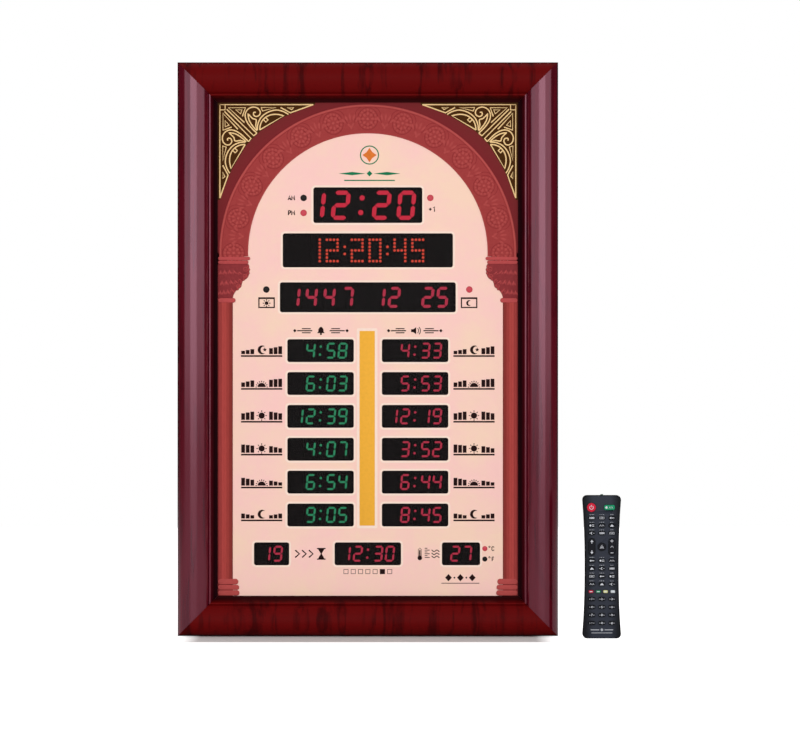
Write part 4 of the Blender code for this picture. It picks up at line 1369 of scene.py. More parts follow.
@dataclass
class Displays:
    """The lit digits, dots and lamps, just behind the smoked sheet."""

    face: Face
    big: DigitSize = DigitSize(37.0 * MM, 22.6 * MM, 5.3 * MM)
    medium: DigitSize = DigitSize(26.5 * MM, 15.1 * MM, 3.7 * MM)
    small: DigitSize = DigitSize(20.2 * MM, 11.7 * MM, 2.5 * MM)
    segment_depth: float = 0.22 * MM
    dot_pitch: float = 4.5 * MM
    dot_radius: float = 1.65 * MM
    matrix_rows: int = 8
    matrix_columns: int = 44
    back: float = field(init=False)

    def __post_init__(self) -> None:
        """Finds the front of the LED modules."""
        self.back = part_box("upper_display_board")[0].y

    def segment(
        self, mesh: bmesh.types.BMesh, size: DigitSize, centre: Point, start: Point, end: Point,
    ) -> None:
        """One bar with mitred ends, leaning with its digit."""
        half = size.stroke / 2
        (x0, z0), (x1, z1) = start, end
        length = math.hypot(x1 - x0, z1 - z0)
        along = ((x1 - x0) / length, (z1 - z0) / length)
        across = (-along[1], along[0])
        near, far = size.gap, length - size.gap
        shape = (
            (near, 0), (near + half, half), (far - half, half), (far, 0), (far - half, -half),
            (near + half, -half))
        lean = math.tan(size.slant)
        outline = []
        for a, b in shape:
            x = x0 + along[0] * a + across[0] * b
            z = z0 + along[1] * a + across[1] * b
            outline.append((centre[0] + x + z * lean, centre[1] + z))
        add_plate(mesh, outline, self.back, self.back - self.segment_depth)

    def digit(self, mesh: bmesh.types.BMesh, size: DigitSize, centre: Point, figure: str) -> None:
        """One seven-segment figure."""
        x = (size.width - size.stroke) / 2
        z = (size.height - size.stroke) / 2
        ends = {
            "a": ((-x, z), (x, z)), "g": ((-x, 0), (x, 0)), "d": ((-x, -z), (x, -z)),
            "f": ((-x, 0), (-x, z)), "b": ((x, 0), (x, z)), "e": ((-x, -z), (-x, 0)),
            "c": ((x, -z), (x, 0))}
        for name in SEGMENTS[figure]:
            self.segment(mesh, size, centre, *ends[name])

    def colon(self, mesh: bmesh.types.BMesh, size: DigitSize, centre: Point) -> None:
        """Two round dots."""
        for rise in (-1, 1):
            z = centre[1] + rise * size.height * 0.25
            x = centre[0] + rise * size.height * 0.25 * math.tan(size.slant)
            add_plate(
                mesh, arc((x, z), size.stroke * 0.62, 0, 345, 23), self.back,
                self.back - self.segment_depth)

    def figures(
        self, mesh: bmesh.types.BMesh, window: Window, size: DigitSize, text: str, places: Sequence[float],
    ) -> None:
        """Figures and colons at their places across a window, in millimetres from its middle."""
        for character, place in zip(text, places):
            centre = (window.x + place * MM, window.z)
            if character == ":":
                self.colon(mesh, size, centre)
            else:
                self.digit(mesh, size, centre, character)

    def matrix(self) -> None:
        """The message: seven-row figures made of dots."""
        window = self.face.message
        lit, dark = bmesh.new(), bmesh.new()
        columns: list[set[int]] = []
        for character in "12:20:45":
            if character == ":":
                columns += [{2, 4}, set()]
                continue
            used = SEGMENTS[character]
            figure = [set(), set(), set(), set()]
            for row, name in ((6, "a"), (3, "g"), (0, "d")):
                if name in used:
                    for column in range(4):
                        figure[column].add(row)
            for column, low, name in ((0, 3, "f"), (3, 3, "b"), (0, 0, "e"), (3, 0, "c")):
                if name in used:
                    figure[column].update(range(low, low + 4))
            columns += [*figure, set()]
        columns.pop()
        first = (self.matrix_columns - len(columns)) // 2
        for column in range(self.matrix_columns):
            rows = columns[column - first] if 0 <= column - first < len(columns) else set()
            for row in range(self.matrix_rows):
                x = window.x + (column - (self.matrix_columns - 1) / 2) * self.dot_pitch
                z = window.z + (row - (self.matrix_rows - 1) / 2 + 0.5) * self.dot_pitch
                if z > window.z + window.height / 2 - self.dot_pitch / 2:
                    continue
                target = lit if row in rows else dark
                add_plate(
                    target, arc((x, z), self.dot_radius, 0, 330, 11), self.back,
                    self.back - self.segment_depth)
        make_piece("message_dots_lit", lit, DOT_LIT, Body.CLOCK, None)
        make_piece("message_dots_dark", dark, UNLIT, Body.CLOCK, None)

    def lamps(self) -> None:
        """The round indicator lamps in their holes."""
        face = self.face
        time_edge = face.time.width / 2
        date_edge = face.date.width / 2
        scale_x = face.temperature.x + face.temperature.width / 2 + 6.0 * MM
        places = (
            (-time_edge - 12.3 * MM, face.time.z + 9.1 * MM, 4.2 * MM, False),
            (-time_edge - 12.3 * MM, face.time.z - 9.8 * MM, 4.2 * MM, True),
            (time_edge + 10.1 * MM, face.time.z + 9.1 * MM, 4.2 * MM, True),
            (-date_edge - 17.1 * MM, face.date.z + 9.8 * MM, 4.2 * MM, False),
            (date_edge + 17.1 * MM, face.date.z + 9.8 * MM, 4.2 * MM, True),
            (scale_x, face.temperature.z + 6.6 * MM, 3.3 * MM, True),
            (scale_x, face.temperature.z - 6.6 * MM, 3.3 * MM, False),
        )
        lit, dark = bmesh.new(), bmesh.new()
        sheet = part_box("smoked_window_sheet")[0].y
        for x, z, radius, on in places:
            outline = arc((x, z), radius - 0.15 * MM, 0, 352.5, 47)
            add_pillow(
                lit if on else dark, outline, sheet - 0.05 * MM, face.front - 0.5 * MM, 0.9 * MM, 4)
        make_piece("indicator_lenses_lit", lit, LENS_LIT, Body.CLOCK, 50.0)
        make_piece("indicator_lenses_dark", dark, LENS_DARK, Body.CLOCK, 50.0)

    def build(self) -> None:
        """Builds every lit figure."""
        face = self.face
        red_big, red_small, green = bmesh.new(), bmesh.new(), bmesh.new()
        self.figures(red_big, face.time, self.big, "12:20", (-65.3, -34.2, -8.1, 17.5, 48.6))
        make_piece("time_figures", red_big, RED_LIT, Body.CLOCK, None)
        dates = bmesh.new()
        self.figures(
            dates, face.date, self.medium, "14471225",
            (-93.2, -71.4, -48.8, -25.7, 14.4, 33.4, 75.7, 94.1))
        make_piece("date_figures", dates, RED_SOFT, Body.CLOCK, None)
        cells = (-27.8, -12.6, -0.3, 13.1, 27.8)
        lefts = ("4:58", "6:03", "12:39", "4:07", "6:54", "9:05")
        rights = ("4:33", "5:53", "12:19", "3:52", "6:44", "8:45")
        for row in range(face.rows):
            for side, texts, mesh in ((-1, lefts, green), (1, rights, red_small)):
                text = texts[row]
                self.figures(mesh, face.prayer(row, side), self.small, text, cells[-len(text):])
        make_piece("left_column_figures", green, GREEN_LIT, Body.CLOCK, None)
        make_piece("right_column_figures", red_small, RED_SOFT, Body.CLOCK, None)
        footer = bmesh.new()
        self.figures(footer, face.countdown, self.small, "19", (-7.2, 7.8))
        self.figures(footer, face.midday, self.small, "12:30", cells)
        self.figures(footer, face.temperature, self.small, "27", (-7.2, 7.8))
        make_piece("footer_figures", footer, RED_SOFT, Body.CLOCK, None)
        self.matrix()
        self.lamps()


UNLIT = Plastic("unlit_dot", ink(44, 36, 36), 0.5, "circuit_board")
LENS_LIT = LitSegment("lens_red", ink(182, 38, 56), 0.25)
LENS_DARK = Plastic("lens_dark", ink(22, 16, 16), 0.25, "circuit_board")


# Printed labels

# The strokes of each letter, as shares of its height, about its middle and up from its foot
LETTERS = {
    "A": (((-0.3, 0), (0, 1), (0.3, 0)), ((-0.19, 0.3), (0.19, 0.3))),
    "M": (((-0.32, 0), (-0.32, 1), (0, 0.3), (0.32, 1), (0.32, 0)),),
    "P": (((-0.24, 0), (-0.24, 1), (0.1, 1), (0.26, 0.86), (0.26, 0.62), (0.1, 0.48), (-0.24, 0.48)),),
    "C": (
        ((0.28, 0.8), (0.12, 1), (-0.12, 1), (-0.28, 0.8),
         (-0.28, 0.2), (-0.12, 0), (0.12, 0), (0.28, 0.2)),
    ),
    "F": (((-0.22, 0), (-0.22, 1), (0.26, 1)), ((-0.22, 0.52), (0.18, 0.52))),
    "+": (((-0.28, 0.5), (0.28, 0.5)), ((0, 0.22), (0, 0.78))),
    "1": (((-0.2, 0.76), (0.02, 1), (0.02, 0)),),
}


@dataclass
class Stencil:
    """Draws one label's flat shapes and strokes at a place, in millimetres about its middle."""

    mesh: bmesh.types.BMesh
    centre: Point
    surface_y: float
    rise: float = 0.16 * MM

    def at(self, point: Point) -> Point:
        """A point of the label on the face."""
        return self.centre[0] + point[0] * MM, self.centre[1] + point[1] * MM

    def shape(self, points: Sequence[Point]) -> None:
        """A filled shape."""
        add_plate(self.mesh, [self.at(point) for point in points], self.surface_y, self.surface_y - self.rise)

    def bar(self, left: float, low: float, right: float, high: float) -> None:
        """A filled rectangle."""
        self.shape([(left, low), (right, low), (right, high), (left, high)])

    def disc(self, x: float, z: float, radius: float, start: float = 0.0, end: float = 345.0) -> None:
        """A filled round, or part of one."""
        self.shape(arc((x, z), radius, start, end, 23))

    def stroke(self, points: Sequence[Point], width: float, closed: bool = False) -> None:
        """A line of one width."""
        path = [self.at(point) for point in points]
        add_line_art(self.mesh, [(path, closed)], width * MM, self.surface_y, self.rise)

    def text(self, words: str, x: float, z: float, height: float, squeeze: float = 1.0) -> None:
        """Plain figures or letters."""
        add_text(
            self.mesh, words, self.at((x, z)), height * MM, self.surface_y, self.rise, 0.035, squeeze)

    def letters(self, words: str, x: float, z: float, height: float, width: float) -> None:
        """Bold plain letters made of strokes, side by side about a place."""
        pitch = height * 0.84
        for index, letter in enumerate(words):
            left = x + pitch * (index - (len(words) - 1) / 2)
            for line in LETTERS[letter]:
                points = [(left + a * height, z + (b - 0.5) * height) for a, b in line]
                self.stroke(points, width)

    def crescent(self, x: float, z: float, radius: float) -> None:
        """A moon."""
        outer = arc((x, z), radius, 50, 310, 20)
        inner = arc((x + radius * 0.45, z), radius * 0.79, 295, 65, 16)
        self.shape(outer + inner)

    def sun(self, x: float, z: float, radius: float, first: float = 0.0, last: float = 360.0) -> None:
        """A disc, or the part of it over a horizon, with rays."""
        if last - first >= 360:
            self.disc(x, z, radius)
        else:
            self.shape(arc((x, z), radius, first, last, 16))
        count = 8
        for index in range(count + 1):
            angle = first + (last - first) * index / count
            if index == count and last - first >= 360:
                continue
            turn = math.radians(angle)
            near, far = radius + 0.8, radius + 2.6
            self.stroke([
                (x + near * math.cos(turn), z + near * math.sin(turn)),
                (x + far * math.cos(turn), z + far * math.sin(turn))], 1.2)

    def star(self, x: float, z: float, radius: float, points: int = 5) -> None:
        """A star."""
        outline = []
        for index in range(points * 2):
            reach = radius if index % 2 == 0 else radius * 0.45
            angle = math.radians(90 + 180 * index / points)
            outline.append((x + reach * math.cos(angle), z + reach * math.sin(angle)))
        self.shape(outline)


class Daypart(Enum):
    """What each row of the timetable stands for."""

    DAWN = 0
    SUNRISE = 1
    NOON = 2
    AFTERNOON = 3
    SUNSET = 4
    NIGHT = 5

    @property
    def light_shares(self) -> tuple[float, ...]:
        """How light it is before and after, as the heights of three bars on each side."""
        return (
            (0.4, 0.5, 0.6, 0.72, 0.84, 0.95), (0.55, 0.68, 0.8, 0.88, 0.95, 1.0),
            (0.8, 0.9, 1.0, 1.0, 0.9, 0.8), (1.0, 0.95, 0.88, 0.8, 0.68, 0.55),
            (0.95, 0.84, 0.72, 0.6, 0.5, 0.4), (0.6, 0.5, 0.4, 0.4, 0.5, 0.6))[self.value]


@dataclass
class Labels:
    """Pictures printed beside the windows, and the halos round the windows."""

    face: Face
    halo_width: float = 2.6 * MM
    halo_rise: float = 0.1 * MM
    row_label_x: float = 134.0 * MM
    bar_size: tuple[float, float, float, float] = (-10.5 * MM, 139.3 * MM, 8.8 * MM, 385.0 * MM)

    def stencil(self, mesh: bmesh.types.BMesh, x: float, z: float) -> Stencil:
        """A stencil at a place on the film."""
        return Stencil(mesh, (x, z), self.face.front)

    def halos(self) -> None:
        """Pale outlines round the windows and round the amber bar."""
        mesh = bmesh.new()
        for window in self.face.windows():
            inner = rounded_rectangle((window.x, window.z), window.width, window.height, 2.6 * MM, 5)
            outer = rounded_rectangle(
                (window.x, window.z), window.width + 2 * self.halo_width,
                window.height + 2 * self.halo_width, 2.6 * MM + self.halo_width, 5)
            add_ring(mesh, inner, outer, self.face.front, self.face.front - self.halo_rise)
        left, low, right, high = self.bar_size
        margin = 3.4 * MM
        centre = ((left + right) / 2, (low + high) / 2)
        inner = rounded_rectangle(centre, right - left, high - low, 0.6 * MM, 5)
        outer = rounded_rectangle(
            centre, right - left + 2 * margin, high - low + 2 * margin, 2.0 * MM, 5)
        add_ring(mesh, inner, outer, self.face.front, self.face.front - self.halo_rise)
        make_piece("window_halos", mesh, Ink("halo_cream", ink(252, 226, 210), 0.02), Body.CLOCK)

    def amber_bar(self) -> None:
        """The upright bar between the two columns of windows."""
        left, low, right, high = self.bar_size
        mesh = bmesh.new()
        outline = rounded_rectangle(
            ((left + right) / 2, (low + high) / 2), right - left, high - low, 0.7 * MM, 3)
        add_pillow(mesh, outline, self.face.front, self.face.front - 0.25 * MM, 0.12 * MM, 2)
        make_piece("amber_bar", mesh, Ink("amber", ink(243, 178, 62), 0.03), Body.CLOCK)

    def row(self, mesh: bmesh.types.BMesh, daypart: Daypart, side: int) -> None:
        """A timetable row's picture: how light it is before and after, round the sun or the moon.

        Args:
            mesh: The mesh that takes the picture.
            daypart: The row's time of day.
            side: -1 for the left labels, 1 for the right ones.
        """
        z = self.face.prayer(daypart.value, side).z
        stencil = self.stencil(mesh, side * self.row_label_x, z)
        low, high = -4.4, 6.0
        for index, light in enumerate(daypart.light_shares):
            way = -1 if index < 3 else 1
            x = way * (11.8 + 5.8 * (2 - index if index < 3 else index - 3))
            stencil.bar(x - 2.35, low, x + 2.35, low + (high - low) * light)
        if daypart in (Daypart.SUNRISE, Daypart.SUNSET):
            stencil.sun(0, low, 5.2, 0, 180)
        elif daypart in (Daypart.NOON, Daypart.AFTERNOON):
            stencil.sun(0, 1.0, 3.9)
        else:
            stencil.crescent(0.6, 1.0, 5.6)
            if daypart is Daypart.DAWN:
                stencil.star(4.0, 1.2, 2.8)
        stencil.bar(-26.0, -7.8, 26.0, -5.8)

    def heading(self, mesh: bmesh.types.BMesh, side: int) -> None:
        """A column's heading: a bell or a loudspeaker between two rules."""
        stencil = self.stencil(mesh, side * 59.2 * MM, 385.3 * MM)
        if side > 0:
            stencil.shape([(-4.6, -1.8), (-2.0, -1.8), (1.8, -4.4), (1.8, 4.4), (-2.0, 1.8), (-4.6, 1.8)])
            for radius in (4.4, 6.8):
                stencil.stroke(arc((0.4, 0), radius, -42, 42, 8), 1.1)
        else:
            stencil.shape(flow([
                (-5.0, -3.0), (-3.4, -1.2), (-3.0, 2.0), (0.0, 5.0),
                (3.0, 2.0), (3.4, -1.2), (5.0, -3.0)], 4))
            stencil.disc(0, -4.2, 1.3)
        for way in (-1, 1):
            stencil.bar(min(way * 11, way * 30), -0.7, max(way * 11, way * 30), 0.7)
            stencil.bar(min(way * 13, way * 24), 2.0, max(way * 13, way * 24), 3.2)
            stencil.bar(min(way * 13, way * 24), -3.2, max(way * 13, way * 24), -2.0)
            stencil.shape([(way * 33, -2.2), (way * 35.2, 0), (way * 33, 2.2), (way * 30.8, 0)])

    def time_labels(self, mesh: bmesh.types.BMesh) -> None:
        """The labels beside the main time."""
        z = self.face.time.z
        stencil = self.stencil(mesh, -96.6 * MM, z)
        stencil.letters("AM", 0, 9.1, 5.4, 1.6)
        stencil.letters("PM", 0, -9.8, 5.4, 1.6)
        summer = self.stencil(mesh, 81.4 * MM, z - 4.2 * MM)
        summer.letters("+1", 0, -1.0, 6.2, 1.5)

    def date_labels(self, mesh: bmesh.types.BMesh) -> None:
        """The two calendars: by the sun on the left and by the moon on the right."""
        z = self.face.date.z - 6.8 * MM
        for side in (-1, 1):
            stencil = self.stencil(mesh, side * 127.8 * MM, z)
            for x0, z0, x1, z1 in ((-10.4, 4.6, 10.4, 6.8), (-10.4, -6.8, -8.9, 6.8), (8.9, -6.8, 10.4, 6.8),
                                   (-10.4, -6.8, 10.4, -5.3)):
                stencil.bar(x0, z0, x1, z1)
            if side < 0:
                stencil.sun(0, -0.6, 2.3)
            else:
                stencil.crescent(0, -0.5, 3.6)

    def footer_labels(self, mesh: bmesh.types.BMesh) -> None:
        """The labels of the three windows at the foot."""
        z = self.face.countdown.z
        glass = self.stencil(mesh, -58.8 * MM, z)
        glass.shape([(-4.4, 6.6), (4.4, 6.6), (0.5, 0), (-0.5, 0)])
        glass.shape([(-0.5, 0), (0.5, 0), (4.4, -6.6), (-4.4, -6.6)])
        glass.bar(-5.4, 6.0, 5.4, 7.4)
        glass.bar(-5.4, -7.4, 5.4, -6.0)
        rows = self.stencil(mesh, -80.0 * MM, z)
        for index in range(3):
            x = -9.0 + 8.6 * index
            rows.stroke([(x - 2.6, 4.6), (x + 2.6, 0), (x - 2.6, -4.6)], 2.0)
        week = self.stencil(mesh, self.face.midday.x, z - 22.4 * MM)
        for index in range(7):
            x = -27.6 + 9.2 * index
            if index == 5:
                week.bar(x - 3.2, -3.2, x + 3.2, 3.2)
            else:
                week.stroke([(x - 2.7, -2.7), (x + 2.7, -2.7), (x + 2.7, 2.7), (x - 2.7, 2.7)], 1.0, True)
        bulb = self.stencil(mesh, 65.6 * MM, z)
        bulb.disc(0, -5.2, 2.9)
        bulb.bar(-0.9, -4.0, 0.9, 4.6)
        bulb.stroke([(-1.9, -3.0), (-1.9, 5.4), (0, 7.2), (1.9, 5.4), (1.9, -3.0)], 0.7)
        for index in range(6):
            bulb.bar(6.2, -5.0 + 2.3 * index, 12.4 if index % 2 == 0 else 9.6, -4.1 + 2.3 * index)
        wave = self.stencil(mesh, 85.4 * MM, z)
        for rise in (-3.8, 0.0, 3.8):
            wave.stroke([
                (x, rise + 1.1 * math.sin(x * 0.9))
                for x in (-5, -3.9, -2.8, -1.7, -0.6, 0.5, 1.6, 2.7, 3.8, 4.9)], 1.3)
        scale_x = self.face.temperature.x + self.face.temperature.width / 2 + 15.0 * MM
        scale = self.stencil(mesh, scale_x, z)
        for letter, rise in (("C", 6.6), ("F", -6.6)):
            scale.letters(letter, 1.2, rise, 4.8, 1.3)
            scale.stroke(arc((-3.2, rise + 2.2), 0.9, 0, 330, 11), 0.8, True)

    def maker_places(self) -> None:
        """A star and rules over the time, where names would stand."""
        green, orange = bmesh.new(), bmesh.new()
        crown = self.stencil(orange, 2.1 * MM, 607.0 * MM)
        crown.shape([(-9, 0), (-3.7, 3.7), (0, 9), (3.7, 3.7), (9, 0), (3.7, -3.7), (0, -9), (-3.7, -3.7)])
        diagonal = self.stencil(green, 2.1 * MM, 607.0 * MM)
        ring = arc((0, 0), 11.4, 0, 345, 23)
        diagonal.stroke(ring, 1.6, True)
        rule = self.stencil(green, 2.1 * MM, 583.6 * MM)
        for way in (-1, 1):
            rule.shape([(way * 5.2, 0), (way * 22, 2.1), (way * 39, 0), (way * 22, -2.1)])
        rule.shape([(0, 3.6), (3.6, 0), (0, -3.6), (-3.6, 0)])
        lower = self.stencil(green, 2.1 * MM, 575.0 * MM)
        lower.bar(-32, -0.7, 32, 0.7)
        make_piece("crest_orange", orange, Ink("crest_orange", ink(226, 122, 50)), Body.CLOCK)
        make_piece("crest_green", green, Ink("crest_green", ink(24, 124, 82)), Body.CLOCK)

    def foot_ornament(self, mesh: bmesh.types.BMesh) -> None:
        """A row of diamonds over a rule."""
        stencil = self.stencil(mesh, 116.8 * MM, 73.6 * MM)
        for x in (-15, 0, 15):
            stencil.shape([(x, 4.6), (x + 4.2, 0), (x, -4.6), (x - 4.2, 0)])
        for x in (-7.5, 7.5):
            stencil.disc(x, 0, 1.1)
        stencil.bar(-24, -7.4, 24, -6.6)

    def build(self) -> None:
        """Prints everything."""
        self.halos()
        self.amber_bar()
        rows = bmesh.new()
        for daypart in Daypart:
            for side in (-1, 1):
                self.row(rows, daypart, side)
        make_piece("row_pictures", rows, BLACK_INK, Body.CLOCK, None)
        others = bmesh.new()
        for side in (-1, 1):
            self.heading(others, side)
        self.time_labels(others)
        self.date_labels(others)
        self.footer_labels(others)
        self.foot_ornament(others)
        make_piece("face_labels", others, BLACK_INK, Body.CLOCK, None)
        self.maker_places()


# The back


def merged_copy(
    node: str, name: str, finish: Finish, body: Body | str, smooth: float = 35.0,
) -> bpy.types.Object:
    """A copy of a CAD node with its triangles joined, so that its rounds are shaded smooth.

    Args:
        node: The CAD node.
        name: The new piece's name.
        finish: Its finish.
        body: The body that it rides on.
        smooth: The edges under this angle, in degrees, are smooth.

    Returns:
        The new piece.
    """
    mesh = bmesh.new()
    mesh.from_mesh(NODES[node].data)
    piece = make_piece(name, mesh, finish, body, smooth)
    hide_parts(node)
    return piece


@dataclass
class Back:
    """What is fixed to the clock's back: screws, corner plates, and dressed copies of the speaker and the
    jack.
    """

    screw_radius: float = 3.4 * MM
    screw_rise: float = 0.42 * MM
    cover_back: float = field(init=False)
    low: Vector = field(init=False)
    high: Vector = field(init=False)

    def __post_init__(self) -> None:
        """Reads the rear cover's box."""
        self.low, self.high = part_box("rear_cover")
        self.cover_back = self.high.y

    def screw(
        self, heads: bmesh.types.BMesh, recess_shade: bmesh.types.BMesh, x: float, z: float, y: float,
    ) -> None:
        """One pan-head screw, with a near-black cross in its head as painted shade for its cross recess.

        Args:
            heads: The mesh that takes the head.
            recess_shade: The mesh that takes the recess.
            x: The screw's place across.
            z: Its place upwards.
            y: The surface that it sits on.
        """
        shape = Matrix.Diagonal((self.screw_radius, self.screw_rise, self.screw_radius, 1))
        place = Matrix.Translation((x, y, z)) @ shape
        bmesh.ops.create_uvsphere(heads, u_segments=16, v_segments=8, radius=1.0, matrix=place)
        # Painted shade: a near-black cross stands in the head for the shade inside its recess.
        for width, height in ((3.6 * MM, 0.8 * MM), (0.8 * MM, 3.6 * MM)):
            add_box(
                recess_shade, (x - width / 2, y, z - height / 2),
                (x + width / 2, y + self.screw_rise * 0.98, z + height / 2))

    def build(self) -> None:
        """Builds the fixings."""
        heads, recess_shade, plates = bmesh.new(), bmesh.new(), bmesh.new()
        inset = 7.0 * MM
        reach_x = (self.high.x - self.low.x) / 2 - inset
        middle_z = (self.low.z + self.high.z) / 2
        reach_z = (self.high.z - self.low.z) / 2 - inset
        for side in (-1, 1):
            for share in (-1, -0.5, 0, 0.5, 1):
                self.screw(heads, recess_shade, side * reach_x, middle_z + share * reach_z * 0.97, self.cover_back)
            for share in (-0.5, 0.5):
                self.screw(heads, recess_shade, share * reach_x, middle_z + side * reach_z, self.cover_back)
        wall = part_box("frame_left_stile")[1].y
        for side in (-1, 1):
            for end in (-1, 1):
                x = side * (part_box("frame_right_stile")[1].x - 17.5 * MM)
                z = middle_z + end * (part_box("frame_top_rail")[1].z - middle_z - 17.5 * MM)
                outline = [(x - side * 10 * MM, z + end * 10 * MM), (x + side * 10 * MM, z + end * 10 * MM),
                           (x + side * 10 * MM, z - end * 10 * MM), (x + side * 3 * MM, z - end * 10 * MM),
                           (x - side * 10 * MM, z + end * 3 * MM)]
                add_pillow(plates, outline, wall - 0.2 * MM, wall - 0.02 * MM, 0.05 * MM, 1)
        make_piece(
            "rear_screws", heads, BareMetal("zinc", ink(170, 170, 165), 0.35, "rear_board"),
            Body.CLOCK)
        # The screws' recesses are near-black crosses of painted shade.
        make_piece(
            "rear_screw_recess_shade", recess_shade, Plastic("recess", ink(12, 12, 12), 0.8, "rear_board"),
            Body.CLOCK, None)
        make_piece(
            "mitre_plates", plates, BareMetal("plate", ink(150, 150, 150), 0.4, "mahogany_foil"),
            Body.CLOCK)
        merged_copy(
            "speaker", "speaker_dressed",
            Plastic("speaker_paper", ink(26, 26, 27), 0.8, "speaker_paper", 0.4), Body.CLOCK)
        merged_copy(
            "power_jack", "power_jack_dressed",
            Plastic("jack", ink(20, 20, 21), 0.4, "jack_plastic"), Body.CLOCK)


# The remote


@dataclass
class Remote:
    """The remote's shells, keys, legends and battery bay."""

    key_edge: float = 0.7 * MM
    flange: float = 0.9 * MM
    legend_rise: float = 0.07 * MM
    face_y: float = field(init=False)
    x: float = field(init=False)

    def __post_init__(self) -> None:
        """Reads the shells' place."""
        low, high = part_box("remote_upper_shell")
        self.face_y = low.y
        self.x = (low.x + high.x) / 2

    def finish_of(self, node: str) -> Plastic:
        """The rubber of a key."""
        colours = {
            "power": ("red", ink(214, 34, 62)), "red": ("red", ink(206, 30, 66)),
            "mode": ("green", ink(28, 148, 104)), "green": ("green", ink(30, 136, 92)),
            "yellow": ("yellow", ink(226, 226, 160)), "white": ("white", ink(214, 222, 226))}
        name, colour = colours.get(node.rsplit("_", 1)[1], ("key", ink(27, 28, 35)))
        return Plastic(f"{name}_rubber", colour, 0.55, f"{name}_rubber", 0.08)

    def cap(self, node: str) -> None:
        """One key's cap, flat on top with a rounded front edge."""
        low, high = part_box(node)
        centre = ((low.x + high.x) / 2, (low.z + high.z) / 2)
        grow = 0.0 if "rocker" in node else self.flange
        width = high.x - low.x - 2 * grow
        height = high.z - low.z - 2 * grow
        if "power" in node or "centre" in node:
            outline = arc(centre, width / 2, 0, 351, 39)
        elif "rocker" in node:
            width = min(width, 8.2 * MM)
            outline = rounded_rectangle(centre, width, height, 3.6 * MM, 6)
        else:
            outline = rounded_rectangle(centre, width, height, min(width, height) * 0.34, 5)
        mesh = bmesh.new()
        add_pillow(mesh, outline, high.y, low.y, self.key_edge, 4)
        body = node.removeprefix("remote_")
        piece = make_piece(f"{body}_cap", mesh, self.finish_of(node), body, 50.0)
        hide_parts(node)
        self.legend(node, body, centre, low.y)

    def legend(self, node: str, body: str, centre: Point, top: float) -> None:
        """The mark on one key."""
        mesh = bmesh.new()
        mark = Stencil(mesh, centre, top + 0.01 * MM, self.legend_rise)
        kind, _, tail = body.removeprefix("key_").partition("_")
        if body == "key_power":
            mark.stroke(arc((0, 0), 2.3, 125, 415, 20), 0.8)
            mark.stroke([(0, 0.4), (0, 3.1)], 0.8)
        elif body == "key_mode":
            mark.disc(-3.8, 0, 1.5)
            mark.stroke([(-0.6, -1.2), (0.6, 1.2), (1.8, -1.2), (3.0, 1.2), (4.2, -1.2)], 0.7)
        elif body == "key_centre":
            mark.stroke([(-2.4, -1.6), (0, 2.4), (2.4, -1.6)], 0.8, True)
            mark.disc(0, -0.4, 0.8)
        elif "rocker" in body:
            for way in (-1, 1):
                if "up_down" in body:
                    mark.shape([(-1.9, way * 6.4), (1.9, way * 6.4), (0, way * 8.9)])
                    mark.bar(-0.45, min(way * 4.2, way * 6.4), 0.45, max(way * 4.2, way * 6.4))
                else:
                    mark.bar(-1.8, way * 7.4 - 0.4, 1.8, way * 7.4 + 0.4)
            if "plus_minus" in body:
                mark.bar(-0.4, 5.6, 0.4, 9.2)
                mark.stroke([(-1.8, -1.0), (0, 1.2), (1.8, -1.0)], 0.7)
        elif kind == "number":
            figure = {10: "*", 11: "0", 12: "#"}.get(int(tail), tail)
            mark.text(figure, 0, 0 if figure != "*" else -0.8, 2.6)
            for way in (-1, 1):
                mark.bar(way * 2.5 - 0.5, -0.35, way * 2.5 + 0.5, 0.35)
        elif kind in ("function", "setting"):
            self.glyph(mark, int(tail) + (9 if kind == "setting" else 0))
        else:
            mark.bar(-1.7, -0.5, 1.7, 0.5)
        make_piece(f"{body}_legend", mesh, LEGEND, body, None)

    def glyph(self, mark: Stencil, index: int) -> None:
        """One of the plain marks on the small keys."""
        shape = index % 7
        if shape == 0:
            mark.crescent(0, 0, 1.5)
            mark.bar(-3.1, -0.3, -2.0, 0.3)
            mark.bar(2.0, -0.3, 3.1, 0.3)
        elif shape == 1:
            for x in (-2.4, -0.8, 0.8, 2.4):
                mark.bar(x - 0.5, -1.2, x + 0.5, 1.2)
        elif shape == 2:
            mark.stroke([(-2.8, -1.2), (2.8, -1.2), (2.8, 1.2), (-2.8, 1.2)], 0.6, True)
            mark.bar(-1.6, -0.3, 1.6, 0.3)
        elif shape == 3:
            mark.shape([(-2.9, 0), (-1.1, 1.4), (-1.1, -1.4)])
            mark.bar(-1.1, -0.4, 2.9, 0.4)
        elif shape == 4:
            mark.disc(-1.8, 0, 1.2)
            mark.bar(0.3, -1.2, 2.9, -0.5)
            mark.bar(0.3, 0.5, 2.9, 1.2)
        elif shape == 5:
            mark.stroke([(-2.8, -1.1), (-1.4, 1.1), (0, -1.1), (1.4, 1.1), (2.8, -1.1)], 0.7)
        else:
            mark.shape([(-2.6, -1.3), (2.6, -1.3), (0, 1.5)])

